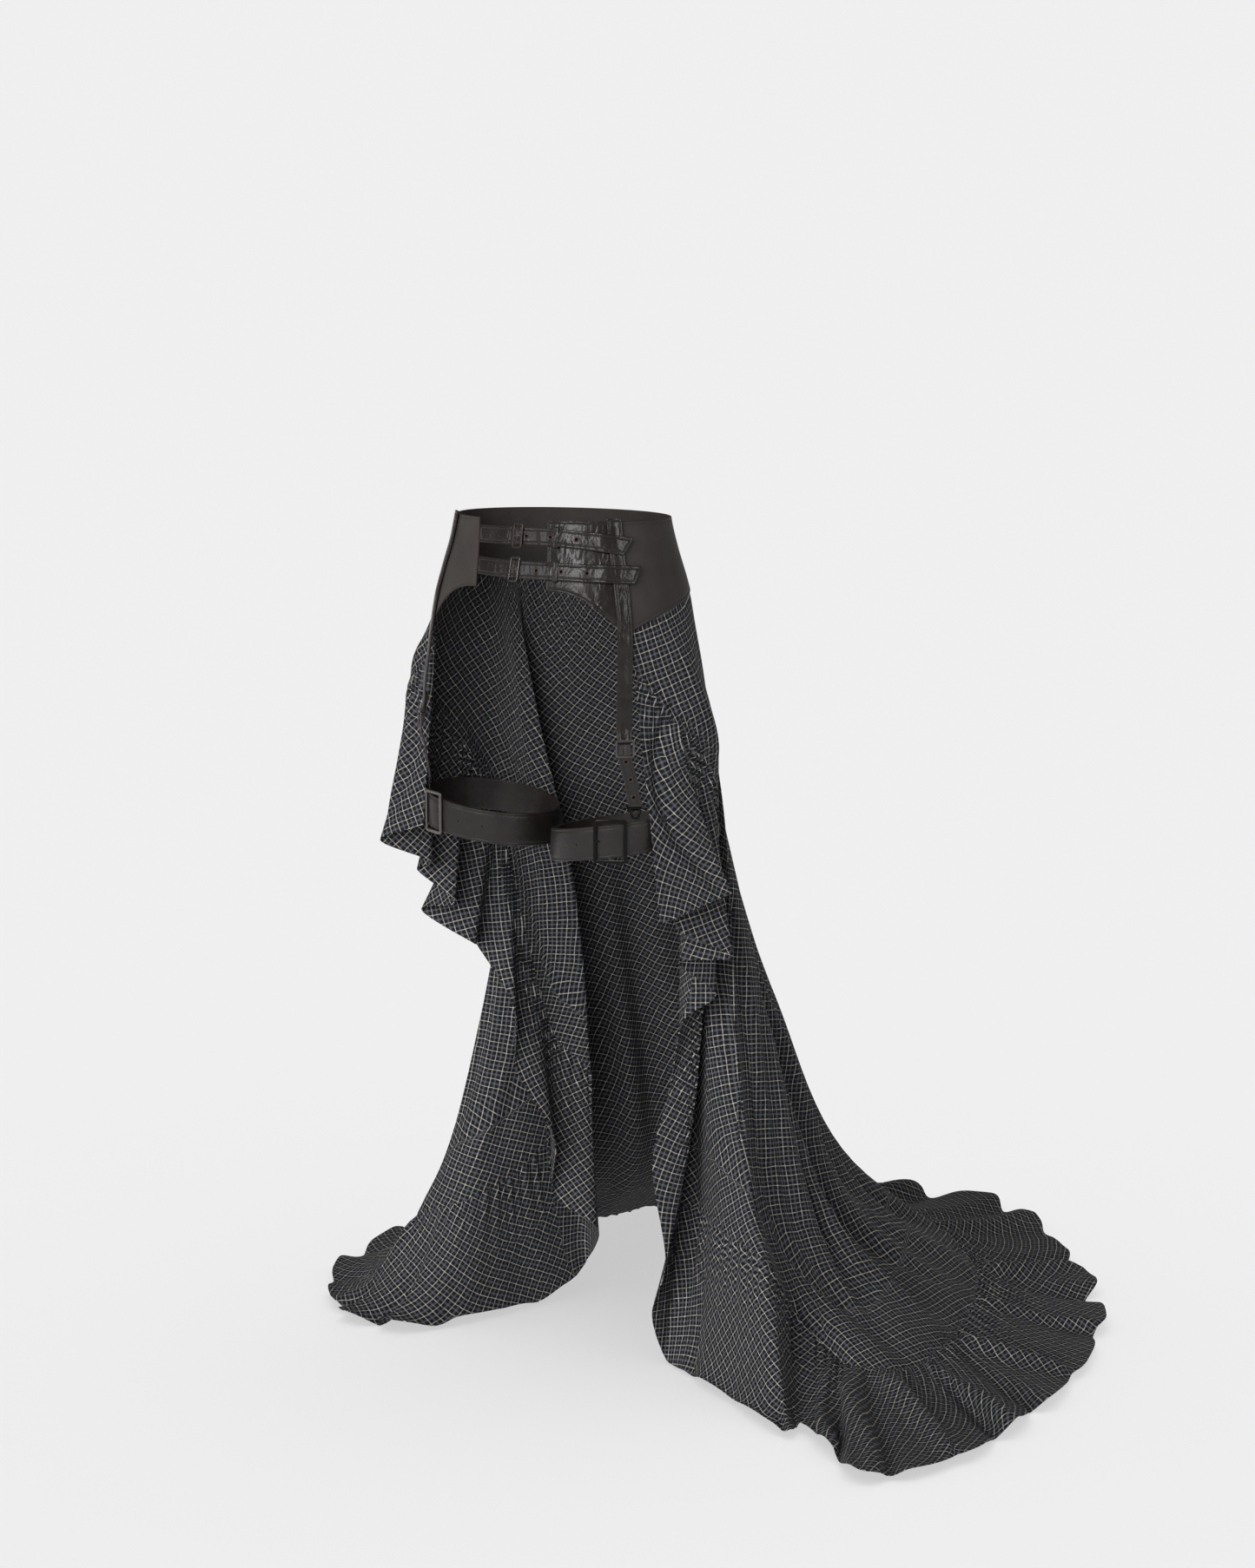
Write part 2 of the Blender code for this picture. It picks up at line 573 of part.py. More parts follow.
def hanging_lines():
    """Points of each hanging line from yoke to hem, then how free it hangs, its flare and angle."""
    lines = []
    for table in (LEFT_CASCADE, TRAIN, RIGHT_CASCADE[::-1]):
        for row in table:
            top, away = hip_point(row[0], float(yoke_edge(row[0])) - 2 * SEAM_GAP)
            if table is TRAIN:
                knee = np.array([row[2], row[3], KNEE])
                seam = np.array(row[6:9])
                ankle = np.array([row[4], row[5], KNEE + ANKLE_SHARE * (seam[2] - KNEE)])
                hem = np.array([row[9], row[10], FLOOR + HEM_LIFT])
                thigh = top + (knee - top) * THIGH_SHARE + away * (1, 1, 0) * row[1]
            else:
                seam = np.array(row[1:4])
                hem = np.array(row[4:7])
                drop = seam - top
                swell = min(SWELL_SHARE * np.linalg.norm(drop), SWELL_MOST)
                swell *= SWELL_ANGLES[0] < abs(row[0] - 90) < SWELL_ANGLES[1]
                thigh, knee, ankle = (top + drop * (out, out, fall) + away * (1, 1, 0) * swell
                                      for fall, out in FALLS_OUT)
            free = 0.0 if table is TRAIN else 1.0
            flare = FRONT_EDGE_FLARE if abs(row[0] - 90) > FRONT_EDGE_ANGLE else 1 + CASCADE_FLARE * free
            lines.append(np.concatenate([top, thigh, knee, ankle, seam, hem, [free, flare, row[0]]]))
    return np.array(lines)


def fold_depth(place, down):
    """How deep the train's long folds are at a line and a share of its length."""
    depth = np.zeros(np.broadcast(place, down).shape)
    for centre, half_width, deepest, begin in TRAIN_FOLDS:
        across = np.clip(1 - ((place - len(LEFT_CASCADE) - centre) / half_width) ** 2, 0, 1) ** 2
        depth += deepest * across * np.interp(down, [begin, FOLD_CREST, 1], [0, 1, FOLD_AT_SEAM])
    return depth


def hem_wave(place):
    """Uneven waves of the hem on the floor, from -1 to 1."""
    drift = WAVE_DRIFT[0] * np.sin(2 * math.pi * place / WAVE_DRIFT[1])
    change = WAVE_CHANGE[0] * np.sin(2 * math.pi * place / WAVE_CHANGE[1])
    size = (1 - WAVE_CHANGE[0] + change) * np.clip(abs(place - WAVE_CALM[0]) / WAVE_CALM[1], 0, 1)
    return np.sin(2 * math.pi * place * FLOOR_WAVES / len(TRAIN) + drift) * size


def cloth_grids(place):
    """Middle points of the body and of the ruffle along the hanging lines at these places."""
    lines = between_lines(LINES, place)
    top, thigh, knee, ankle, seam, hem = (lines[:, 3 * part:3 * part + 3] for part in range(6))
    free, flare = lines[:, 18:19], lines[:, 19:20]
    down = np.linspace(0, 1, BODY_ROWS)
    body = np.zeros((len(place), BODY_ROWS, 3))
    for column in range(len(place)):
        knots = np.stack([point[column] for point in (top, thigh, knee, ankle, seam)])
        length = np.concatenate([[0], np.cumsum(np.linalg.norm(np.diff(knots, axis=0), axis=1))])
        body[column] = smooth(length, knots, down * length[-1])
    depth = fold_depth(place[:, None], down[None, :])
    body = body + grid_normal(body) * -depth[..., None]

    seam = body[:, -1]
    share = np.linspace(0, 1, RUFFLE_ROWS)
    wave = hem_wave(place)
    ruffle = np.zeros((len(place), RUFFLE_ROWS, 3))
    for row, part in enumerate(share):
        flat = seam + (hem - seam) * part ** flare
        flat[:, 2:] = seam[:, 2:] + (hem[:, 2:] - seam[:, 2:]) * (1 - (1 - part) ** (1 + (1 - free)))
        outward = unit((hem - seam) * (1, 1, 0))
        rise = (0.5 + 0.5 * wave[:, None]) * FLOOR_WAVE_HEIGHT * part * (1 - free)
        ruffle[:, row] = flat + outward * wave[:, None] * FLOOR_WAVE_REACH * part * (1 - free)
        ruffle[:, row, 2:] += rise
    return body, ruffle, lines[:, 20]


def draw_back(grid):
    """Move a grid's first row half a seam gap into the cloth, square to that edge."""
    along = unit(np.gradient(grid[:, 0], axis=0))
    inward = grid[:, 1] - grid[:, 0]
    inward -= along * np.sum(inward * along, axis=1, keepdims=True)
    grid[:, 0] += unit(inward) * CLOTH_SEAM_GAP / 2


def build_cloth():
    """Body in three panels and a ruffle in three lengths, 0.3 mm apart along each seam."""
    first_train = len(LEFT_CASCADE) - 0.5
    last_train = len(LEFT_CASCADE) + len(TRAIN) - 0.5
    spans = (
        ("left", 0.0, first_train, SIDE_COLUMNS),
        ("back", first_train, last_train, TRAIN_COLUMNS),
        ("right", last_train, len(LINES) - 1.0, SIDE_COLUMNS),
    )
    for side, begin, end, per_line in spans:
        count = int(round((end - begin) * per_line * 2)) + 1
        place = np.linspace(begin, end, count)
        body, ruffle, angle = cloth_grids(place)
        body_normal = grid_normal(body)
        ruffle_normal = grid_normal(ruffle)
        shared = unit(body_normal[:, -1] + ruffle_normal[:, 0])
        shared[1:-1:2] = unit(shared[0:-2:2] + shared[2::2])
        ruffle[1:-1:2, 0] = (ruffle[0:-2:2, 0] + ruffle[2::2, 0]) / 2
        body_normal[:, 0] = unit(hip_point(angle, body[:, 0, 2])[1] + body_normal[:, 0] * (1, 1, 0))
        body_normal[:, -1] = shared
        ruffle_normal[:, 0] = shared
        for grid in (body[:, ::-1], ruffle, *(np.swapaxes(grid, 0, 1) for grid in (
                body, body[::-1], ruffle, ruffle[::-1]))):
            draw_back(grid)
        shell(f"skirt_{side}", body[::2], body_normal[::2], CLOTH, plaid)
        shell(f"ruffle_{side}", ruffle, ruffle_normal, CLOTH, plaid)


for old in list(bpy.data.objects):
    bpy.data.objects.remove(old)
garment = bpy.data.collections.new("plaid_skirt")
bpy.context.scene.collection.children.link(garment)

leather = paint("leather", (0.020, 0.017, 0.017), 0.45, 0.0)
gloss_leather = paint("gloss_leather", (0.016, 0.014, 0.015), 0.30, 0.0)
matte_leather = paint("matte_leather", (0.022, 0.018, 0.018), 0.60, 0.0)
steel = paint("gunmetal", (0.060, 0.060, 0.065), 0.30, 1.0)
plaid = paint("plaid_cloth", (0.030, 0.032, 0.037), 0.85, 0.0)

LINES = hanging_lines()
build_front_panels()
build_yoke()
build_garters()
build_thigh_bands()
build_front_straps()
build_cloth()
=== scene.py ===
"""Looks of the leather garter belt and its open-front plaid skirt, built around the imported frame."""
import math

import bmesh
import bpy
import numpy as np
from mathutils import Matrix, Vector


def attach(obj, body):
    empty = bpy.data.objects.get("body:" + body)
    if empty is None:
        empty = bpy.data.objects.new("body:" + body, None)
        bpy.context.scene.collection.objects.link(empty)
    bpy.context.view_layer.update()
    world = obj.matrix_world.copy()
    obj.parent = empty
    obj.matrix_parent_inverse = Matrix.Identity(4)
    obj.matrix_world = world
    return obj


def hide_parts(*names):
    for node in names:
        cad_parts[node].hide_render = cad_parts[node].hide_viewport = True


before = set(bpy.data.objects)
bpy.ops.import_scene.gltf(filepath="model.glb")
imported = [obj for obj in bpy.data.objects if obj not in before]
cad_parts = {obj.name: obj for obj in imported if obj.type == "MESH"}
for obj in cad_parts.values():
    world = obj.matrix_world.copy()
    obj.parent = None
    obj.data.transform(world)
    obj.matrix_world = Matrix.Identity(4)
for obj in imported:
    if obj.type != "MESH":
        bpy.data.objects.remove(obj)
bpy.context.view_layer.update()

# Camera, floor and light. The garment stands worn, turned 35 degrees, on a plain pale floor.
# One broad soft lamp in front lights the garment and two weaker ones its back, another lights the
# floor evenly from above, and a pale surround fills the shadows.
# The picture's height and the focal length are in pixels, the tilt and the turn in radians.
SENSOR = 36.0
FRAME_HEIGHT = 1806
FOCAL_LENGTH = 4080.2
CAMERA_PLACE = (2.29431, -3.27661, 0.305)
CAMERA_REACH = 500.0
CAMERA_TILT = 0.15219
CAMERA_TURN = 0.59285
PALE = 0.865
SURROUND = 0.30
FLOOR = -1.0
FLOOR_REACH = 90
LIGHT_AIM = Vector((0, 0, -0.2))


def shown(name, data):
    """New object in the scene."""
    item = bpy.data.objects.new(name, data)
    bpy.context.scene.collection.objects.link(item)
    return item


def mesh_of(name, points, faces, edges=()):
    """Mesh of points joined by faces or by edges."""
    mesh = bpy.data.meshes.new(name)
    mesh.from_pydata(np.asarray(points).tolist(), edges, faces)
    return mesh


camera_data = bpy.data.cameras.new("camera")
camera_data.sensor_width = SENSOR
camera_data.lens = SENSOR * FOCAL_LENGTH / FRAME_HEIGHT
camera_data.clip_end = CAMERA_REACH
camera = shown("camera", camera_data)
camera.location = CAMERA_PLACE
camera.rotation_euler = (math.pi / 2 - CAMERA_TILT, 0.0, CAMERA_TURN)
bpy.context.scene.camera = camera
bpy.context.scene.view_settings.view_transform = "Standard"

# Columns: name, height and side in degrees, spread in degrees, strength against white paper.
lamps = {}
for name, height, side, spread, strength in (
        ("garment_lamp", 14, 6, 54, 1.96),
        ("back_lamp_left", 8, 148, 60, 0.50),
        ("back_lamp_right", 8, 218, 60, 0.60),
        ("floor_lamp", 90, 0, 60, 1 - SURROUND)):
    lamp_data = bpy.data.lights.new(name, "SUN")
    lamp_data.angle = math.radians(spread)
    lamp_data.use_shadow = height < 90
    lamp_data.energy = math.pi * strength
    lamps[name] = shown(name, lamp_data)
    lamps[name].visible_glossy = False
    lamps[name].rotation_euler = (math.radians(90 - height), 0.0, math.radians(side))

# Columns: place, size, power of the panels of light that show only in gloss.
for number, (place, size, power) in enumerate((
        ((0.75, -3.0, 1.30), (0.34, 1.6), 36.0),
        ((-1.6, -3.2, 1.3), (0.8, 2.2), 30.0),
        ((3.4, -1.2, 1.2), (0.6, 2.0), 36.0))):
    box_data = bpy.data.lights.new(f"light_panel_{number}", "AREA")
    box_data.shape = "RECTANGLE"
    box_data.size, box_data.size_y = size
    box_data.energy = power
    box = shown(f"light_panel_{number}", box_data)
    box.location = place
    box.rotation_euler = (LIGHT_AIM - Vector(place)).to_track_quat("-Z", "Y").to_euler()
    box.visible_diffuse = False
    box.visible_camera = False

surround = bpy.data.worlds.new("surround")
surround.use_nodes = True
bpy.context.scene.world = surround
world_nodes = surround.node_tree.nodes
join = surround.node_tree.links.new
even_light = world_nodes["Background"]
even_light.inputs["Color"].default_value = (SURROUND, SURROUND, SURROUND, 1)
seen_behind = world_nodes.new("ShaderNodeBackground")
seen_behind.inputs["Color"].default_value = (PALE, PALE, PALE, 1)
by_ray = world_nodes.new("ShaderNodeMixShader")
join(world_nodes.new("ShaderNodeLightPath").outputs["Is Camera Ray"], by_ray.inputs[0])
join(even_light.outputs[0], by_ray.inputs[1])
join(seen_behind.outputs[0], by_ray.inputs[2])
join(by_ray.outputs[0], world_nodes["World Output"].inputs["Surface"])

floor_corners = [(x * FLOOR_REACH, y * FLOOR_REACH, FLOOR) for x, y in ((-1, -1), (1, -1), (1, 1), (-1, 1))]
floor = shown("floor", mesh_of("floor", floor_corners, [(0, 1, 2, 3)]))
floor_paint = bpy.data.materials.new("pale_floor")
floor_paint.use_nodes = True
floor_shader = floor_paint.node_tree.nodes["Principled BSDF"].inputs
floor_shader["Base Color"].default_value = (PALE, PALE, PALE, 1)
floor_shader["Roughness"].default_value = 1.0
floor_shader["Specular IOR Level"].default_value = 0.0
floor.data.materials.append(floor_paint)
for name, lamp in lamps.items():
    lit = bpy.data.collections.new(f"{name}_lights")
    lit.objects.link(floor)
    lit.collection_objects[0].light_linking.link_state = "INCLUDE" if name == "floor_lamp" else "EXCLUDE"
    lamp.light_linking.receiver_collection = lit

# Front panels of the belt: two shaped cuts of black leather with turned, stitched edges.
# They hang from the waist edge over the oval of the hips and end in a curve over the thigh.
# Columns of HIP in millimetres: height, half width and half depth of the oval.
HIP = np.array((
    (-300, 168, 126),
    (-130, 162, 120),
    (-100, 157.5, 116),
    (-70, 150, 109),
    (-35, 139, 100),
    (0, 130.5, 94),
    (10, 129.5, 93),
)) / 1000
HIP_STEP = 0.004
SEAM_RADIUS = 0.12
SEAM_GAP = 0.0003
STRAP_ANGLE = -36.0
PANEL_EDGE_X = 0.047
EDGE_LEAN = (-0.007, 0.002)
PANEL_FRONT_DROP = 0.076
PANEL_SIDE_DROP = 0.047
PANEL_CURVE_POWER = 2.6
LEATHER = 0.0020
EDGE_ROUND = 0.0011
STITCH_INSET = 0.0032
PANEL_CUT = (0.095, 0.090)
THIN_EDGE = 0.3
RUBBED_EDGE = 0.0010
RUBBED_MOST = 1.3
STITCH_PRESS = (0.00045, 0.0005)
STITCH_SUNK = 0.0001
ROW_STEP = 0.002
# Degrees past which an edge between faces is sharp, on shells and on bars.
SHELL_SHARP = 55
BAR_SHARP = 50
# Distances in from a turned edge at which a leather grid has its first points.
TURNED_EDGE = (0, 0.0003, 0.0007, 0.0012, 0.0022, 0.0028, 0.0032, 0.0036, 0.0042)


def cubic(part, start, end, start_slope, end_slope):
    """Cubic curve from one value to another, with its slopes at both."""
    return ((1 + 2 * part) * (1 - part) ** 2 * start + part ** 2 * (3 - 2 * part) * end
            + part * (1 - part) * ((1 - part) * start_slope - part * end_slope))


def smooth(knots, values, at, lean=1):
    """Cubic curve through the values, each slope taken from the two neighbours; level at a lean of 0."""
    knots = np.asarray(knots, float)
    values = np.asarray(values, float)
    at = np.clip(np.asarray(at, float), knots[0], knots[-1])
    slopes = lean * np.gradient(values, knots, axis=0)
    cell = np.clip(np.searchsorted(knots, at, side="right") - 1, 0, len(knots) - 2)
    width = knots[cell + 1] - knots[cell]
    part = (at - knots[cell]) / width
    if values.ndim > 1:
        part = part[..., None]
        width = width[..., None]
    return cubic(part, values[cell], values[cell + 1], slopes[cell] * width, slopes[cell + 1] * width)


def unit(vectors):
    """Vectors scaled to length one."""
    return vectors / np.maximum(np.linalg.norm(vectors, axis=-1, keepdims=True), 1e-9)


def hip_size(height):
    """Half width and half depth of the hips at a height."""
    return np.moveaxis(smooth(HIP[:, 0], HIP[:, 1:], height), -1, 0)


def hip_point(angle, height, out=0.0):
    """Point over the hips at an oval angle in degrees, and the way out of the hips there."""
    angle, height = np.broadcast_arrays(np.asarray(angle, float), np.asarray(height, float))
    cosine = np.cos(np.radians(angle))
    sine = np.sin(np.radians(angle))

    def spot(level):
        half_width, half_depth = hip_size(level)
        return np.stack([half_width * cosine, half_depth * sine, level], axis=-1)

    half_width, half_depth = hip_size(height)
    along = np.stack([-half_width * sine, half_depth * cosine, 0 * angle], axis=-1)
    away = unit(np.cross(along, spot(height + HIP_STEP) - spot(height - HIP_STEP)))
    return spot(height) + away * np.asarray(out)[..., None], away


class Signal:
    """One socket of a node tree, used as a number in an expression."""

    def __init__(self, tree, socket):
        self.tree = tree
        self.socket = socket

    def math(self, operation, *values):
        return self.tree.add("ShaderNodeMath", {"operation": operation}, dict(enumerate(values)))

    def __add__(self, other):
        return self.math("ADD", self, other)

    def __sub__(self, other):
        return self.math("SUBTRACT", self, other)

    def __rsub__(self, other):
        return self.math("SUBTRACT", other, self)

    def __mul__(self, other):
        return self.math("MULTIPLY", self, other)

    def __truediv__(self, other):
        return self.math("DIVIDE", self, other)

    def __abs__(self):
        return self.math("ABSOLUTE", self)

    def fraction(self):
        return self.math("FRACT", self)

    def limited(self):
        return self.math("MINIMUM", self.math("MAXIMUM", self, 0.0), 1.0)

    __radd__ = __add__
    __rmul__ = __mul__


class Tree:
    """A node tree being wired up."""

    def __init__(self, nodes_and_links):
        self.wires = nodes_and_links

    def feed(self, node, sockets):
        """Gives each socket its value or its link."""
        for key, value in sockets.items():
            if isinstance(value, Signal):
                self.wires.links.new(value.socket, node.inputs[key])
            else:
                node.inputs[key].default_value = value

    def add(self, kind, settings, sockets, outlet=0):
        """A node of a kind with its settings, then its sockets; gives one of its outlets."""
        node = self.wires.nodes.new(kind)
        for key, value in settings.items():
            setattr(node, key, value)
        self.feed(node, sockets)
        return Signal(self, node.outputs[outlet])


class Finish(Tree):
    """A material being mixed: its tree and its shader."""

    def __init__(self, name, **shader):
        self.material = bpy.data.materials.new(name)
        self.material.use_nodes = True
        super().__init__(self.material.node_tree)
        self.shader = self.wires.nodes["Principled BSDF"]
        self.feed(self.shader, {key.replace("_", " "): value for key, value in shader.items()})

    def place(self, *stretch):
        """Object coordinates, stretched along each axis where a pattern is longer one way."""
        spot = self.add("ShaderNodeTexCoord", {}, {}, "Object")
        return self.add("ShaderNodeMapping", {}, {"Vector": spot, "Scale": stretch}) if stretch else spot

    def noise(self, place, scale, detail=3.0, distortion=0.0):
        """Soft cloudy pattern."""
        return self.add("ShaderNodeTexNoise", {}, {
            "Vector": place, "Scale": scale, "Detail": detail, "Distortion": distortion})

    def blend(self, factor, first, second):
        """Colour between two others."""
        return self.add("ShaderNodeMix", {"data_type": "RGBA"}, {0: factor, 6: first, 7: second}, 2)

    def finished(self, colour, height, strength, depth, roughness=None):
        """Feeds the colour and the relief to the shader and gives the material."""
        bump = self.add("ShaderNodeBump", {}, {"Strength": strength, "Distance": depth, "Height": height})
        self.feed(self.shader, {"Base Color": colour, "Normal": bump})
        if roughness is not None:
            self.feed(self.shader, {"Roughness": roughness})
        return self.material


def black_leather(name, dark, light, roughness, uneven, grain, crease, upright, coat, shine):
    """Leather finish: two near blacks, pebbled grain, soft creases, edges rubbed a little brown.

    The creases run level where upright is above 1, and up and down where it is below.
    """
    finish = Finish(name, Specular_IOR_Level=shine, Coat_Weight=coat, Coat_Roughness=0.25)
    place = finish.place()
    cloud = finish.noise(place, 38.0, 4.0)
    pebble = finish.add("ShaderNodeTexVoronoi", {"feature": "SMOOTH_F1"},
                        {"Vector": place, "Scale": 900.0, "Smoothness": 0.7})
    pores = finish.noise(place, 1900.0, 2.0)
    wrinkle = abs(finish.noise(finish.place(1.0, 1.0, upright), 70.0, 2.0, 0.7) - 0.5)
    hollow = finish.noise(finish.place(1.0, 1.0, 0.6), 26.0, 1.5, 0.5)
    rubbed = finish.add("ShaderNodeAttribute", {"attribute_name": "rubbed"}, {}, "Fac")
    plain = finish.blend((cloud * 1.8 - 0.4).limited(), (*dark, 1), (*light, 1))
    colour = finish.blend((rubbed * (0.55 + cloud * 0.7)).limited(), plain, (0.0125, 0.0080, 0.0073, 1))
    height = pebble * grain + pores * (0.3 * grain) + wrinkle * crease + hollow * (1.6 * crease)
    return finish.finished(colour, height, 0.55, 0.0008,
                           roughness + (cloud - 0.5) * uneven - rubbed * 0.08)


# Columns: name, dark and light colour, roughness and its unevenness, depth of the grain and of the
# creases, their stretch up and down, coat, shine.
# The last two rows are one matte leather in two copies that differ only in brightness: the darker copy
# carries painted shade and dresses the yoke, on the side away from the lamp; the lighter copy carries
# painted light and dresses the wearer's right front panel.
leather, gloss_leather, matte_leather, panel_leather = (black_leather(*row) for row in (
    ("leather", (0.0058, 0.0047, 0.0045), (0.0118, 0.0097, 0.0092),
     0.40, 0.20, 0.26, 2.2, 1.4, 0.04, 0.32),
    ("gloss_leather", (0.0050, 0.0039, 0.0036), (0.0108, 0.0085, 0.0079),
     0.25, 0.26, 0.10, 4.4, 0.5, 0.04, 0.26),
    ("matte_leather", (0.0158, 0.0134, 0.0125), (0.0228, 0.0194, 0.0180),
     0.58, 0.10, 0.32, 1.0, 0.6, 0.0, 0.20),
    ("panel_leather", (0.0225, 0.0190, 0.0170), (0.0330, 0.0278, 0.0248),
     0.56, 0.10, 0.32, 1.0, 0.6, 0.0, 0.20)))


def stations(length, count):
    """Places from 0 to 1 along a length, closer together over both turned edges."""
    near = np.array(TURNED_EDGE) / length
    return np.concatenate([near, np.linspace(near[-1], 1 - near[-1], count)[1:-1], 1 - near[::-1]])


def cells(index):
    """The four corners of every cell of a grid of point numbers."""
    corners = np.stack([index[:-1, :-1], index[:-1, 1:], index[1:, 1:], index[1:, :-1]], axis=-1)
    return corners.reshape(-1, 4)


def corner_points(mesh):
    """Point number of every face corner."""
    corners = np.empty(len(mesh.loops), dtype=np.int32)
    mesh.loops.foreach_get("vertex_index", corners)
    return corners


def grid_normal(grid):
    """Unit normals of a grid whose first axis runs round the body and whose second runs down."""
    return unit(np.cross(np.gradient(grid, axis=1), np.gradient(grid, axis=0)))


def placed(name, mesh, material, sharp):
    """Object for a finished mesh, smooth but for its sharp edges."""
    mesh.materials.append(material)
    mesh.shade_smooth()
    mesh.set_sharp_from_angle(angle=math.radians(sharp))
    return shown(name, mesh)


def closed_shell(name, outer, inner, material, cut=None, rubbed=None):
    """Object whose outer and inner grids of points are joined round the rim."""
    index = np.arange(outer[..., 0].size).reshape(outer.shape[:2])
    rim = np.concatenate([index[:, 0], index[-1, 1:], index[-2::-1, -1], index[0, -2:0:-1]])
    after = np.roll(rim, -1)
    walls = np.stack([rim, after, after + index.size, rim + index.size], axis=-1)
    faces = np.concatenate([cells(index), cells(index)[:, ::-1] + index.size, walls])
    if np.sum(grid_normal(outer) * (outer - inner)) < 0:
        faces = faces[:, ::-1]
    mesh = mesh_of(name, np.concatenate([outer, inner]).reshape(-1, 3), faces.tolist())
    if cut is not None:
        flat = cut.reshape(-1, 2)[corner_points(mesh) % index.size]
        mesh.uv_layers.new(name="cut").uv.foreach_set("vector", flat.astype(np.float32).ravel())
    if rubbed is not None:
        layer = mesh.attributes.new("rubbed", "FLOAT", "POINT")
        layer.data.foreach_set("value", np.tile(rubbed.ravel(), 2).astype(np.float32))
    return placed(name, mesh, material, SHELL_SHARP)


def belongs(piece, node=None):
    """Every piece rides on the one body and may stand for a CAD node."""
    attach(piece, "root")
    if node:
        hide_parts(node)


# Rows of stitches on every leather piece, collected here and sewn after the last of them.
stitch_rows = []


def sew(surface, along, across, lift, edges):
    """Marks stitch rows a little inside the named edges of a surface."""
    ends = (STITCH_INSET / along, 1 - STITCH_INSET / along)
    sides = (STITCH_INSET / across, 1 - STITCH_INSET / across)
    run, fall = (np.linspace(*reach, max(int(size / ROW_STEP), 4))
                 for reach, size in ((ends, along), (sides, across)))
    rows = {"top": (run, 0 * run + sides[0]), "bottom": (run, 0 * run + sides[1]),
            "start": (0 * fall + ends[0], fall), "end": (0 * fall + ends[1], fall)}
    for edge in edges:
        middle, away = surface(*rows[edge])
        stitch_rows.append(middle + away * lift)


def leather_piece(name, surface, along, across, thickness, material, slot, node, counts, edges, crown=0.0):
    """Leather cut over a surface of two shares, with rounded edges and rows pressed by stitches.

    A strap's face is crowned: it stands a little higher along its middle.
    """
    place, side = np.meshgrid(stations(along, counts[0]), stations(across, counts[1]), indexing="ij")
    middle, away = surface(place, side)
    inset = np.minimum(np.minimum(place, 1 - place) * along, np.minimum(side, 1 - side) * across)
    turn = np.clip(inset / EDGE_ROUND, 0, 1)
    half = thickness / 2 * (THIN_EDGE + (1 - THIN_EDGE) * np.sqrt(1 - (1 - turn) ** 2))
    pressed = STITCH_PRESS[0] * np.exp(-((inset - STITCH_INSET) / STITCH_PRESS[1]) ** 2)
    swell = crown * np.clip(1 - (2 * side - 1) ** 2, 0, 1)
    outer = middle + away * (half - pressed + swell)[..., None]
    inner = middle - away * half[..., None]
    piece = closed_shell(name, outer, inner, material,
                         rubbed=np.clip(RUBBED_MOST - inset / RUBBED_EDGE, 0, 1))
    belongs(piece, node)
    sew(surface, along, across, thickness / 2 - STITCH_SUNK, edges)


def edge_reach(height, sign):
    """Distance of a front panel's front edge from the middle; sign is 1 for the wearer's left."""
    lean = EDGE_LEAN[0] - (EDGE_LEAN[1] - EDGE_LEAN[0]) * height / PANEL_FRONT_DROP
    return PANEL_EDGE_X + sign * lean


def panel_surface(sign):
    """Surface of a front panel: shares from the front edge to the side and from the waist down."""
    def surface(share, part):
        height = -part * (PANEL_FRONT_DROP + PANEL_SIDE_DROP * share ** PANEL_CURVE_POWER)
        half_width = hip_size(height)[0]
        seam = half_width * math.cos(math.radians(STRAP_ANGLE)) - SEAM_GAP / 2
        front = edge_reach(-part * PANEL_FRONT_DROP, sign)
        across = front + (seam - front) * share
        middle, away = hip_point(-np.degrees(np.arccos(across / half_width)), height)
        return middle * (sign, 1, 1), away * (sign, 1, 1)
    return surface


# The wearer's right panel wears the lighter copy of the matte leather, with painted light in its colour.
for side, sign, look in (("left", 1, gloss_leather), ("right", -1, panel_leather)):
    leather_piece(f"panel_{side}", panel_surface(sign), *PANEL_CUT, LEATHER, look, "leather",
                  f"front_panel_{side}", (30, 26), ("top", "bottom", "start"))

# Back yoke: one wide cut of matte leather from side seam to side seam, its lower edge turned
# and stitched over the top of the cloth.
YOKE_CUT = (0.56, 0.09)
# Columns of YOKE_EDGE: oval angle in degrees from the wearer's left, height of the lower edge.
YOKE_EDGE = np.array((
    (-36.0, -0.1230),
    (-15.0, -0.1020),
    (5.0, -0.0910),
    (25.0, -0.0820),
    (55.0, -0.0750),
    (90.0, -0.0720),
))


def yoke_edge(angle):
    """Height of the yoke's lower edge, the same on both sides."""
    return smooth(*YOKE_EDGE.T, np.where(np.asarray(angle) > 90, 180 - np.asarray(angle, float), angle))


def yoke_surface(share, part):
    """Surface of the yoke: shares round the back and from the waist down."""
    reach = math.degrees(SEAM_GAP / 2 / SEAM_RADIUS)
    angle = STRAP_ANGLE + reach + (180 - 2 * STRAP_ANGLE - 2 * reach) * share
    return hip_point(angle, part * yoke_edge(angle))


# The yoke wears the darker copy of the matte leather, with painted shade in its colour.
leather_piece("yoke", yoke_surface, *YOKE_CUT, LEATHER, matte_leather, "matte_leather",
              "back_yoke", (120, 22), ("top", "bottom"))

# Front straps: two cuts of gloss leather from the wearer's right panel, through frame buckles, over
# the left panel and its garter. Their tips are cut aslant. A short tab holds each buckle's frame.
STRAP_LENGTH = 0.190
STRAP_WIDTH = 0.0190
STRAP_LEATHER = 0.0018
STRAP_CROWN = 0.0004
# Columns: name, oval angle of the tip's lower and upper corner.
FRONT_STRAPS = (
    ("upper", -33.3, -26.0),
    ("lower", -29.6, -24.0),
)
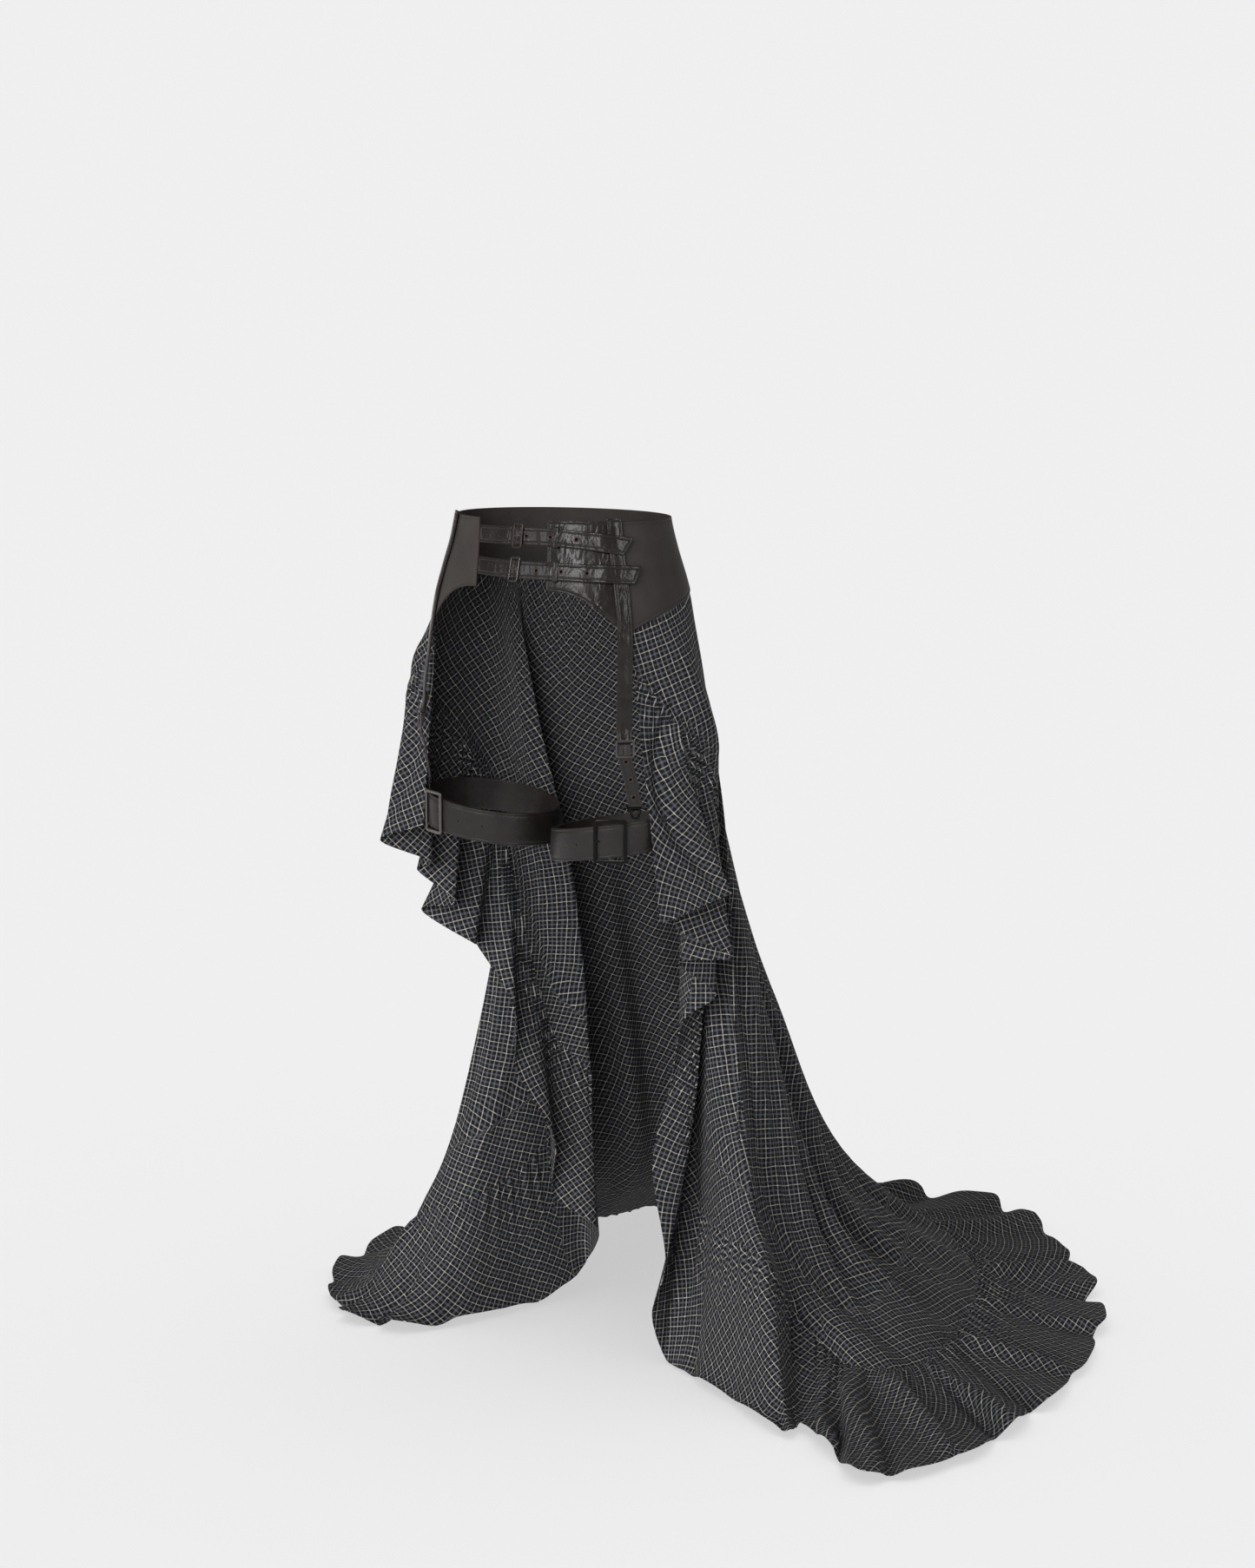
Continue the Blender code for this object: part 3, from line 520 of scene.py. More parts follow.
# Columns: share of the way to the tip, height of the upper strap's middle, of the lower's.
STRAP_FALL = np.array((
    (0.00, -0.0182, -0.0525),
    (0.30, -0.0179, -0.0547),
    (0.55, -0.0187, -0.0558),
    (0.85, -0.0242, -0.0582),
    (1.00, -0.0288, -0.0597),
))
# Columns: oval angle, how far the strap stands off the belt. It swells inside the buckle's frame.
STRAP_LIFT = np.array((
    (-120.0, 0.0),
    (-90.6, 0.0),
    (-87.4, 0.0036),
    (-84.6, 0.0022),
    (-75.0, 0.0024),
    (-70.0, 0.0035),
    (-50.0, 0.0035),
    (-41.0, 0.0057),
    (-20.0, 0.0063),
))
# Points round a bar's section and along a frame's corner, and how boxy a section is.
BAR_POINTS = 12
CORNER_POINTS = 7
ROUND = 2.0
BOXY = 4.0
# Buckle frames: width, height, width of the bar, thickness.
FRONT_BUCKLE = (0.0145, 0.0280, 0.0022, 0.0020)
FRONT_BUCKLE_ANGLE = -86.7
FRONT_BUCKLE_TILT = 10.0
STAND_OFF = 0.0035
FRAME_CORNER = 0.0016
PRONG_ARCH = 0.0009
# Shares of a prong's length and how thick it is there.
PRONG_SHAPE = ((0, 0.75, 0.95, 1), (1, 0.9, 0.7, 0.4))
FRONT_PRONG_RADIUS = 0.0007
# Ends of the prong from the frame's middle: across and out.
FRONT_PRONG = ((-0.0052, 0.0002), (0.0068, 0.0021))
TAB_LENGTH = 0.034
TAB_WIDTH = 0.0180
TAB_ANGLE = -85.4
WAY_TO_HOLE = 0.18
WAY_TO_BUCKLE = 0.30
WAY_TO_KEEPER = 0.55
KEEPER_ANGLE = -66.6
KEEPER_LOOP = (0.0224, 0.0032, 0.0012)
KEEPER_BAR = (0.0005, 0.0028, 5.0)
UP = np.array((0.0, 0.0, 1.0))


def edge_angle(height, sign):
    """Oval angle, as on the wearer's left, just in front of a panel's front edge."""
    reach = edge_reach(height, sign) - 2 * SEAM_GAP
    return -np.degrees(np.arccos(reach / hip_size(height)[0]))


def strap_height(column, way):
    """Height of a front strap's middle at a share of the way to its tip."""
    return smooth(STRAP_FALL[:, 0], STRAP_FALL[:, column], way)


def strap_surface(column, low_tip, high_tip):
    """Surface of a front strap: shares from its start to its slanted tip and from the top down."""
    def surface(share, side):
        edge = (1 - 2 * side) * STRAP_WIDTH / 2
        start = -180 - edge_angle(strap_height(column, 0) + edge, -1)
        tip = high_tip + (low_tip - high_tip) * side
        angle = start + (tip - start) * share
        return hip_point(angle, strap_height(column, share) + edge, smooth(*STRAP_LIFT.T, angle, 0))
    return surface


def swept(name, path, outward, sideways, sizes, material, node=None, ends=None):
    """Bar swept along points. Its sizes are half its width outwards and sideways and how boxy it is.

    The path is a closed loop, or an open rod where ends gives how thick it is at each point.
    """
    half_out, half_side, square = sizes
    around = np.radians(np.linspace(0, 360, BAR_POINTS, endpoint=False) + 180 / BAR_POINTS)
    out, side = (np.sign(wave) * np.abs(wave) ** (2 / square) * half for wave, half in (
        (np.cos(around), half_out), (np.sin(around), half_side)))
    outward, sideways = (np.broadcast_to(way, path.shape)[:, None] for way in (outward, sideways))
    size = np.ones(len(path)) if ends is None else np.asarray(ends)
    grid = path[:, None] + (outward * out[:, None] + sideways * side[:, None]) * size[:, None, None]
    index = np.arange(len(path) * BAR_POINTS).reshape(-1, BAR_POINTS)
    ring = np.pad(index, ((0, int(ends is None)), (0, 1)), "wrap")
    caps = [] if ends is None else [index[0, ::-1].tolist(), index[-1].tolist()]
    mesh = mesh_of(name, grid.reshape(-1, 3), cells(ring).tolist() + caps)
    shape = bmesh.new()
    shape.from_mesh(mesh)
    bmesh.ops.recalc_face_normals(shape, faces=shape.faces)
    shape.to_mesh(mesh)
    shape.free()
    belongs(placed(name, mesh, material, BAR_SHARP), node)


def square_loop(width, height, corner):
    """Points round a rectangle with rounded corners, and the way out at each, in its plane."""
    turn = np.radians(np.linspace(0, 90, CORNER_POINTS) + 90 * np.arange(4)[:, None]).ravel()
    out = np.stack([np.cos(turn), np.sin(turn)], axis=-1)
    quarters = np.repeat([(1, 1), (-1, 1), (-1, -1), (1, -1)], CORNER_POINTS, axis=0)
    return quarters * (width / 2 - corner, height / 2 - corner) + out * corner, out


def buckle_frame(name, size, place, away, tilt, material, node):
    """Square frame of polished bar; its section is nearly square, with softened edges."""
    width, height, bar, thickness = size
    across = unit(np.cross(UP, away))
    up = np.cross(away, across)
    lean = math.radians(tilt)
    across, away = (across * math.cos(lean) + away * math.sin(lean),
                    away * math.cos(lean) - across * math.sin(lean))
    line, out = square_loop(width - bar, height - bar, FRAME_CORNER)
    ways = np.stack([across, up])
    swept(name, place + line @ ways, out @ ways, away, (bar / 2, thickness / 2, BOXY), material, node=node)


def between(start, end, shares):
    """Points at shares of the way from one point to another."""
    return start + (end - start) * np.array(shares)[:, None]


def prong(name, spot, across, away, ends, radius, material):
    """Short round pin from one bar towards the other, arched a little and thinner at its tip."""
    start, end = spot + np.array(ends) @ np.stack([across, away])
    shares = np.linspace(0, 1, 9)
    path = between(start, end, shares) + away * PRONG_ARCH * np.sin(shares * math.pi)[:, None]
    swept(name, path, away, unit(np.cross(away, end - start)), (radius, radius, ROUND), material,
          ends=np.interp(shares, *PRONG_SHAPE))


def dark_metal(name, colour, roughness, coat):
    """Polished metal that is a little uneven and finely scratched."""
    finish = Finish(name, Metallic=1.0, Coat_Weight=coat, Coat_Roughness=0.08)
    cloud = finish.noise(finish.place(), 160.0, 4.0)
    scratch = finish.noise(finish.place(40.0, 40.0, 900.0), 1.0, 2.0)
    pale = tuple(min(1.0, 1.7 * part) for part in colour)
    return finish.finished(finish.blend(cloud, (*colour, 1), (*pale, 1)), scratch + cloud, 0.10, 0.0002,
                           roughness + (cloud - 0.5) * 0.14)


gunmetal, warm_gunmetal, black_gunmetal, bronze = (dark_metal(*row) for row in (
    ("gunmetal", (0.070, 0.064, 0.062), 0.22, 0.3),
    ("warm_gunmetal", (0.096, 0.082, 0.074), 0.26, 0.2),
    ("black_gunmetal", (0.0055, 0.0055, 0.0055), 0.14, 0.2),
    ("bronze", (0.052, 0.038, 0.034), 0.34, 0.1)))

# Places of metal eyelets and of plain punched holes: where, the way out there, how far out.
eyelets = []
# No hole is cut; each gets only a disc of painted shade laid on the leather.
holes = []
STRAP_EYELETS = {"upper": (0.368, 0.520, 0.677), "lower": (0.406, 0.548, 0.693)}
for column, (name, low_tip, high_tip) in enumerate(FRONT_STRAPS, start=1):
    surface = strap_surface(column, low_tip, high_tip)
    leather_piece(f"strap_{name}", surface, STRAP_LENGTH, STRAP_WIDTH, STRAP_LEATHER, gloss_leather,
                  "gloss_leather", f"front_strap_{name}", (110, 12), ("top", "bottom", "end"), STRAP_CROWN)
    face = STRAP_LEATHER / 2 + STRAP_CROWN
    eyelets += [(*surface(share, 0.5), face) for share in STRAP_EYELETS[name]]
    holes.append((*surface(WAY_TO_HOLE, 0.5), face))

    height = strap_height(column, WAY_TO_BUCKLE)
    spot, away = hip_point(FRONT_BUCKLE_ANGLE, height, STAND_OFF)
    buckle_frame(f"frame_{name}", FRONT_BUCKLE, spot, away, FRONT_BUCKLE_TILT,
                 bronze if name == "upper" else gunmetal, f"front_buckle_{name}")
    prong(f"prong_{name}", spot, unit(np.cross(UP, away)), away, FRONT_PRONG, FRONT_PRONG_RADIUS,
          warm_gunmetal)

    def tab_surface(share, side):
        level = height + (1 - 2 * side) * TAB_WIDTH / 2
        return hip_point(TAB_ANGLE + (edge_angle(level, 1) - TAB_ANGLE) * share, level)

    leather_piece(f"tab_{name}", tab_surface, TAB_LENGTH, TAB_WIDTH, STRAP_LEATHER, leather, "leather",
                  f"buckle_tab_{name}", (10, 6), ("top", "bottom"))

    spot, away = hip_point(KEEPER_ANGLE, strap_height(column, WAY_TO_KEEPER), STAND_OFF)
    across = unit(np.cross(away, UP))
    line, out = square_loop(*KEEPER_LOOP)
    ways = np.stack([np.cross(across, away), away])
    swept(f"loop_{name}", spot + line @ ways, out @ ways, across, KEEPER_BAR, gloss_leather,
          f"keeper_{name}")

# Garters: gloss leather strips sewn over the side seams from waist to thigh, a slide buckle on
# each, then a lower strap with three eyelets that ends in a metal clip above the thigh band.
GARTER_WIDTH = 0.0175
GARTER_LOWER_WIDTH = 0.0150
GARTER_CROWN = 0.0008
GARTER_SEWN = (0.003, -0.03, -0.06, -0.09, -0.124)
GARTER_BUCKLE = (0.0215, 0.0200, 0.0022, 0.0020)
# Turn of the garter over the buckle's bar, where it comes from, and its ways out from the belt's
# edge on: out and up.
OVER_BAR = ((0.0023, 0.0), (0.0016, -0.0020), (0.0, -0.0026), (-0.0018, -0.0018))
BEFORE_BAR = (0.0012, 0.0022)
OVER_BAR_WAYS = ((1, 0), (1, 0), (1, 0), (1, 0), (1, -1), (0, -1), (-1, -1))
SLIDE_STAND_OFF = 0.0033
SLIDE_PRONG = ((-0.0088, 0.0), (0.0030, 0.0008))
SLIDE_PRONG_RADIUS = 0.0006
GARTER_HANG = (0.3, 0.65, 1.0)
LOWER_LEATHER = 0.0016
LOWER_BEHIND = (0.22, 0.12, 0.0)
LOWER_DOWN = (0.45, 0.75)
LOWER_BACK = 0.0026
LOWER_FRONT = 0.0024
LOWER_DROP = 0.0085
CLIP_HEIGHT = 0.0135
CLIP_SEAT = 0.0015
HOOK_CORNER = 0.25
HOOK_MIDDLE = 0.52
HOOK_HEIGHT = 0.0092
HOOK_WIDTHS = (0.0110, 0.0070)
HOOK_BAR = (0.0012, 0.0014, 2.4)
HOOK_TOP_BAR = (0.0017, 0.0017, 2.2)
HOOK_TOP_SHAPE = (0.75, 1, 0.9, 0.9, 0.9, 1, 0.75)
HOOK_REACH = 0.0100
# Columns: side, x, y at the buckle, buckle height, clip x, y.
GARTERS = (
    ("left", 0.1345, -0.0770, -0.2475, 0.1450, -0.0705),
    ("right", -0.1405, -0.0810, -0.2350, -0.1400, -0.0685),
)
# Heights of the lower strap's eyelets below the buckle's middle.
GARTER_EYELETS = (0.0145, 0.0345, 0.0545)
BAND_HEIGHT = 0.0370
BAND_LEATHER = 0.0022
BAND_CROWN = 0.0007
# Thigh bands. Columns: side, centre x, y, top height, rise to the outer side, radius, degrees
# by which the tail passes the buckle.
BANDS = (
    ("left", 0.0900, -0.0180, -0.3375, 0.0120, 0.0740, 110.0),
    ("right", -0.0900, -0.0120, -0.3272, 0.0125, 0.0740, 150.0),
)


def lengths(grid, axis):
    """Distance from the first point along one axis of a grid."""
    steps = np.linalg.norm(np.diff(grid, axis=axis), axis=-1)
    return np.concatenate([np.zeros_like(np.take(steps, [0], axis=axis)), np.cumsum(steps, axis=axis)], axis)


def strip_surface(middle, away, across, width):
    """Surface of a strip along a line of points, with its ways at each, and its length."""
    run = lengths(middle, 0)
    away, across = (np.broadcast_to(way, middle.shape) for way in (away, across))

    def surface(share, side):
        at = np.asarray(share) * run[-1]
        edge = np.asarray(width * (0.5 - side))[..., None]
        return smooth(run, middle, at) + smooth(run, across, at) * edge, unit(smooth(run, away, at))
    return surface, run[-1]


for (side, x, y, height, clip_x, clip_y), band in zip(GARTERS, BANDS):
    angle = STRAP_ANGLE if side == "left" else 180 - STRAP_ANGLE
    on_belt, belt_away = hip_point(angle, GARTER_SEWN, LEATHER + 2 * SEAM_GAP)
    out = unit(belt_away[-1] * (1, 1, 0))
    across = unit(np.cross(out, UP))
    ways = np.stack([out, UP])
    belt_edge = on_belt[-1]
    buckle = np.array([x, y, height])
    bar = buckle + UP * (GARTER_BUCKLE[1] - GARTER_BUCKLE[2]) / 2
    hang = between(belt_edge, bar + BEFORE_BAR @ ways, GARTER_HANG)
    surface, length = strip_surface(
        np.concatenate([on_belt, hang, bar + np.array(OVER_BAR) @ ways]),
        np.concatenate([belt_away, unit(np.array(OVER_BAR_WAYS) @ ways)]),
        np.concatenate([unit(np.cross(belt_away, UP)), np.tile(across, (len(OVER_BAR_WAYS), 1))]),
        GARTER_WIDTH)
    leather_piece(f"garter_{side}", surface, length, GARTER_WIDTH, LEATHER, gloss_leather, "gloss_leather",
                  f"garter_strap_{side}", (100, 14), ("top", "bottom"), GARTER_CROWN)
    spot = buckle + out * SLIDE_STAND_OFF
    buckle_frame(f"slide_{side}", GARTER_BUCKLE, spot, out, 0.0, gunmetal, f"garter_buckle_{side}")
    prong(f"slide_prong_{side}", spot, UP, out, SLIDE_PRONG, SLIDE_PRONG_RADIUS, gunmetal)

    clip_angle = math.atan2(clip_y - band[2], abs(clip_x - band[1]))
    clip = np.array([clip_x, clip_y, band[3] + band[4] * math.cos(clip_angle) + CLIP_SEAT + CLIP_HEIGHT])
    front = buckle + out * LOWER_FRONT
    middle = np.stack([*(between(bar, belt_edge, LOWER_BEHIND) - out * LOWER_BACK),
                       front - UP * LOWER_DROP, *between(front, clip, LOWER_DOWN),
                       clip + UP * SEAM_GAP])
    surface, length = strip_surface(middle, out, across, GARTER_LOWER_WIDTH)
    leather_piece(f"lower_{side}", surface, length, GARTER_LOWER_WIDTH, LOWER_LEATHER, leather, "leather",
                  f"garter_lower_{side}", (60, 7), ("top", "bottom"))
    share = np.linspace(0, 1, 200)
    falls = surface(share, 0 * share + 0.5)[0][:, 2]
    for below in GARTER_EYELETS:
        eyelets.append((*surface(np.interp(below - height, -falls, share), 0.5), LOWER_LEATHER / 2))

    line, rim_out = square_loop(1.0, 1.0, HOOK_CORNER)
    line = line * np.where(line[:, 1:] > 0, *np.stack([HOOK_WIDTHS, (HOOK_HEIGHT, HOOK_HEIGHT)], axis=-1))
    ways = np.stack([across, UP])
    swept(f"hook_{side}", clip - UP * CLIP_HEIGHT * HOOK_MIDDLE + line @ ways, rim_out @ ways, out, HOOK_BAR,
          black_gunmetal, node=f"garter_clip_{side}")
    path = between(clip, clip + across, np.linspace(-HOOK_REACH, HOOK_REACH, 7)) + out * SEAM_GAP
    swept(f"hook_bar_{side}", path, out, UP, HOOK_TOP_BAR, black_gunmetal, ends=HOOK_TOP_SHAPE)

# Thigh bands: wide cuts of leather wrapped once round each thigh. The tail passes under a square
# polished buckle and on over the band.
THIGH_BUCKLE = (0.0380, 0.0490, 0.0040, 0.0026)
BUCKLE_ANGLE = 64.5
BUCKLE_STAND_OFF = 0.0052
THIGH_PRONG = ((-0.0175, 0.0002), (-0.0105, -0.0006))
THIGH_PRONG_RADIUS = 0.0011
# Degrees before the band's end where its tip narrows, and how wide it is there.
BAND_TIP = ((20, 10, 0), (1.0, 0.86, 0.4))
# Degrees round the thigh of the punched holes.
BAND_HOLES = {"left": (390,), "right": (390, 411)}
# How far the band's mean line lies outside its radius.
BAND_OUT = 0.001
# Columns: degrees round the thigh, how far the band stands off it.
BAND_LIFT = np.array((
    (0.0, 0.0),
    (325.0, 0.0),
    (345.0, 0.0034),
    (362.0, 0.0051),
    (376.0, 0.0034),
    (720.0, 0.0034),
))


def band_surface(sign, x, y, top, rise, radius, tail):
    """Surface of a thigh band: shares from its start round to its tail and from the top down."""
    def surface(share, part):
        turn = share * (360 + tail)
        angle = np.radians(-BUCKLE_ANGLE - turn)
        away = np.stack([sign * np.cos(angle), np.sin(angle), 0 * angle], axis=-1)
        stand_off = radius + smooth(*BAND_LIFT.T, turn, 0)
        tip = np.interp(turn, 360 + tail - np.array(BAND_TIP[0]), BAND_TIP[1])
        height = top - BAND_HEIGHT / 2 + rise * np.cos(angle) + (0.5 - part) * BAND_HEIGHT * tip
        return away * stand_off[..., None] + np.stack([x + 0 * angle, y + 0 * angle, height], axis=-1), away
    return surface


for side, x, y, top, rise, radius, tail in BANDS:
    sign = 1 if side == "left" else -1
    surface = band_surface(sign, x, y, top, rise, radius, tail)
    length = math.radians(360 + tail) * (radius + BAND_OUT)
    leather_piece(f"band_{side}", surface, length, BAND_HEIGHT, BAND_LEATHER, leather, "leather",
                  f"thigh_band_{side}", (170, 16), ("top", "bottom", "end"), BAND_CROWN)
    for degrees in BAND_HOLES[side]:
        holes.append((*surface(degrees / (360 + tail), 0.5), BAND_LEATHER / 2 + BAND_CROWN))
    spot, away = surface(0.0, 0.5)
    spot = spot + away * BUCKLE_STAND_OFF
    metal = black_gunmetal if side == "left" else warm_gunmetal
    buckle_frame(f"thigh_frame_{side}", THIGH_BUCKLE, spot, away, 0.0, metal, f"thigh_buckle_{side}")
    prong(f"thigh_prong_{side}", spot, unit(np.cross(UP, away)) * sign, away, THIGH_PRONG,
          THIGH_PRONG_RADIUS, metal)

# Stitching and eyelets: dark thread sewn along the leather's turned edges, and small bronze rings
# pressed round the holes of the straps. The holes are not cut: discs of painted shade, standing for
# their dark insides, lie in the eyelets and in the plain punched holes.
THREAD = {"Length": 0.0019, "Width": 0.00042, "Pitch": 0.0027}
EYELET = {"Radius": 0.0025, "Roll": 0.0008}
# Radii of the discs of painted shade that stand for the open holes.
OPENING = {"Radius": 0.0019}
PUNCHED = {"Radius": 0.0008}
EYELET_SQUASH = 0.62
OPENING_LIFT = 0.00006


def grown(name, mesh, sizes, wiring, material):
    """Plain mesh that a geometry tree with named sizes grows from a starting mesh."""
    wires = bpy.data.node_groups.new(name, "GeometryNodeTree")
    wires.interface.new_socket("Geometry", in_out="INPUT", socket_type="NodeSocketGeometry")
    wires.interface.new_socket("Geometry", in_out="OUTPUT", socket_type="NodeSocketGeometry")
    named = {label: wires.interface.new_socket(label, in_out="INPUT", socket_type="NodeSocketFloat")
             for label in sizes}
    tree = Tree(wires)
    entry = wires.nodes.new("NodeGroupInput")
    given = {socket.name: Signal(tree, socket) for socket in entry.outputs if socket.name}
    solid = tree.add("GeometryNodeRealizeInstances", {}, {0: wiring(tree, given)})
    rounded = tree.add("GeometryNodeSetShadeSmooth", {}, {0: solid})
    painted = tree.add("GeometryNodeSetMaterial", {}, {0: rounded, "Material": material})
    tree.feed(wires.nodes.new("NodeGroupOutput"), {0: painted})
    piece = shown(name, mesh)
    growth = piece.modifiers.new("growth", "NODES")
    growth.node_group = wires
    for label, size in sizes.items():
        growth[named[label].identifier] = size
    seen = piece.evaluated_get(bpy.context.evaluated_depsgraph_get())
    plain = bpy.data.meshes.new_from_object(seen)
    piece.modifiers.remove(growth)
    piece.data = plain
    return piece


def scattered(tree, spots, shape, turn):
    """The shape at every point, turned its own way."""
    return tree.add("GeometryNodeInstanceOnPoints", {},
                    {"Points": spots, "Instance": shape, "Rotation": turn})


def thread_wiring(tree, given):
    """Rows of edges become curves, and a short rounded stitch lies along them at each pitch."""
    rows = tree.add("GeometryNodeMeshToCurve", {}, {0: given["Geometry"]})
    spots = tree.add("GeometryNodeCurveToPoints", {"mode": "LENGTH"},
                     {"Curve": rows, "Length": given["Pitch"]})
    turn = Signal(tree, spots.socket.node.outputs["Rotation"])
    ball = tree.add("GeometryNodeMeshUVSphere", {}, {"Segments": 6, "Rings": 4, "Radius": 0.5})
    size = tree.add("ShaderNodeCombineXYZ", {},
                    {"X": given["Width"], "Y": given["Width"], "Z": given["Length"]})
    stitch = tree.add("GeometryNodeTransform", {}, {"Geometry": ball, "Scale": size})
    return scattered(tree, spots, stitch, turn)


thread = Finish("thread", Roughness=0.7, Specular_IOR_Level=0.3)
twist = thread.noise(thread.place(1.0, 1.0, 6.0), 900.0, 2.0)
thread.finished(thread.blend(twist, (0.018, 0.016, 0.016, 1), (0.048, 0.044, 0.042, 1)), twist, 0.4, 0.0001)
row_ends = np.cumsum([len(row) for row in stitch_rows])
row_edges = [(at, at + 1) for at in range(row_ends[-1] - 1) if at + 1 not in row_ends]
row_mesh = mesh_of("stitch_rows", np.concatenate(stitch_rows), [], row_edges)
belongs(grown("stitches", row_mesh, THREAD, thread_wiring, thread.material))


def spots_mesh(name, spots):
    """Single points that carry the way out of the leather."""
    mesh = mesh_of(name, [place + away * lift for place, away, lift in spots], [])
    layer = mesh.attributes.new("away", "FLOAT_VECTOR", "POINT")
    layer.data.foreach_set("vector", np.array([away for place, away, lift in spots], np.float32).ravel())
    return mesh


def on_spots(tree, given, shape):
    """The shape at every point, turned to face the way out."""
    away = tree.add("GeometryNodeInputNamedAttribute", {"data_type": "FLOAT_VECTOR"}, {"Name": "away"})
    turn = tree.add("FunctionNodeAlignRotationToVector", {"axis": "Z"}, {"Vector": away})
    spots = tree.add("GeometryNodeMeshToPoints", {}, {0: given["Geometry"]})
    return scattered(tree, spots, shape, turn)


def ring_wiring(tree, given):
    """A rolled ring lies round each hole."""
    circle, section = (
        tree.add("GeometryNodeCurvePrimitiveCircle", {"mode": "RADIUS"},
                 {"Resolution": points, "Radius": given[size]})
        for points, size in ((28, "Radius"), (8, "Roll")))
    ring = tree.add("GeometryNodeCurveToMesh", {}, {"Curve": circle, "Profile Curve": section})
    flat = tree.add("GeometryNodeTransform", {}, {"Geometry": ring, "Scale": (1.0, 1.0, EYELET_SQUASH)})
    return on_spots(tree, given, flat)


def shade_disc_wiring(tree, given):
    """A disc of painted shade, standing for the dark inside of a hole, lies just above the leather."""
    disc = tree.add("GeometryNodeMeshCircle", {"fill_type": "TRIANGLE_FAN"},
                    {"Vertices": 20, "Radius": given["Radius"]})
    raised = tree.add("GeometryNodeTransform", {},
                      {"Geometry": disc, "Translation": (0.0, 0.0, OPENING_LIFT)})
    return on_spots(tree, given, raised)


# Painted shade: near-black discs stand for the shaded insides of the holes.
hole_dark = Finish("hole_dark", Roughness=1.0, Specular_IOR_Level=0.05)
depth = hole_dark.noise(hole_dark.place(), 700.0)
hole_dark.finished(hole_dark.blend(depth, (0.0015, 0.0014, 0.0014, 1), (0.004, 0.0035, 0.0035, 1)),
                   depth, 0.2, 0.0001)
for name, spots, sizes, wiring, look, slot in (
        ("eyelets", eyelets, EYELET, ring_wiring, bronze, "gunmetal"),
        ("eyelet_openings", eyelets, OPENING, shade_disc_wiring, hole_dark.material, "leather"),
        ("punched_holes", holes, PUNCHED, shade_disc_wiring, hole_dark.material, "leather")):
    belongs(grown(name, spots_mesh(name, spots), sizes, wiring, look))

# Plaid skirt: woven dark check cut in three panels that hang from the yoke and leave the front
# open. The sides fall in a stepped cascade and the back spreads into the train.
# Columns of the cascades, front edge first: oval angle at the yoke, then in millimetres seam x, y, z
# and hem x, y, z.
LEFT_CASCADE = (
    (-35.0, 136.5, -63.5, -158, 170, -58.5, -444),
    (-25.0, 168, -16, -228, 214, 20, -417),
    (-14.0, 174, 18, -256, 153, -4, -455),
    (-4.0, 172, 46, -288, 197, 49, -496),
    (5.0, 164, 66, -318, 140, 26, -505),
    (13.0, 155, 80, -360, 156, 78, -549),
    (20.0, 146, 88, -412, 125, 58, -580),
    (26.0, 136, 92, -490, 100, 68, -665),
    (31.0, 126, 94, -590, 84, 56, -755),
    (35.0, 114, 95, -690, 100, 60, -870),
    (38.0, 100, 98, -765, 80, 62, -940),
    (40.5, 81, 118, -818, 92, 74, -994),
    (43.0, 100, 128, -820, 116, 62, -996),
)
RIGHT_CASCADE = (
    (215.0, -137, -60, -158, -158, -58, -362),
    (206.0, -187, -48, -205, -214, -67, -385),
    (198.0, -186, -12, -232, -172, -24, -412),
    (190.0, -183, 15, -252, -208, -5, -428),
    (182.0, -174, 42, -280, -166, 12, -465),
    (175.0, -170, 62, -306, -230, 31, -484),
    (168.0, -165, 79, -338, -166, 48, -520),
    (162.0, -160, 92, -368, -184, 78, -528),
    (157.0, -154, 103, -420, -130, 80, -600),
    (153.0, -146, 116, -490, -138, 96, -680),
    (149.0, -136, 135, -575, -102, 122, -765),
    (146.0, -126, 160, -650, -120, 148, -845),
    (143.0, -96, 190, -695, -80, 180, -885),
    (140.0, -146, 215, -765, -140, 250, -950),
)
# Columns of TRAIN, wearer's left first: oval angle at the yoke, then in millimetres swell out over
# the thigh, knee-height x, y, ankle-height x, y, seam x, y, z, hem x, y on the floor.
TRAIN = (
    (46.0, 22, 148, 100, 170, 74, 186, 54, -822, 205, 8),
    (50.0, 21, 174, 100, 220, 62, 262, 23, -836, 345, -72),
    (53.0, 12, 156, 134, 196, 118, 256, 88, -905, 348, -42),
    (56.0, 5, 170, 152, 232, 136, 306, 88, -950, 392, -75),
    (60.0, 1, 168, 184, 245, 158, 352, 76, -956, 490, -145),
    (64.0, 2, 148, 205, 240, 200, 392, 120, -960, 545, -40),
    (69.0, 2, 135, 235, 225, 255, 380, 230, -962, 540, 130),
    (74.0, 2, 115, 276, 195, 335, 340, 360, -962, 512, 320),
    (79.0, 6, 90, 322, 155, 415, 285, 480, -962, 435, 515),
    (84.0, 6, 56, 374, 100, 500, 195, 600, -962, 300, 700),
    (89.0, 6, 14, 420, 30, 580, 80, 680, -962, 135, 870),
    (95.0, 8, -38, 412, -45, 575, -40, 695, -962, -30, 885),
    (101.0, 8, -85, 365, -105, 500, -155, 635, -962, -200, 800),
    (108.0, 8, -122, 320, -155, 410, -240, 530, -962, -335, 665),
    (114.0, 12, -150, 272, -190, 325, -300, 410, -962, -425, 500),
    (119.0, 20, -178, 226, -222, 245, -340, 285, -958, -478, 330),
    (124.0, 32, -206, 181, -256, 168, -335, 170, -930, -455, 140),
    (129.0, 40, -221, 140, -257, 108, -282, 91, -878, -330, 0),
    (133.0, 38, -201, 134, -211, 110, -208, 88, -850, -225, 10),
    (137.0, 30, -176, 156, -180, 150, -176, 154, -820, -162, 190),
)
FALLS_OUT = ((0.30, 0.36), (0.55, 0.72), (0.80, 0.92))
KNEE = -0.62
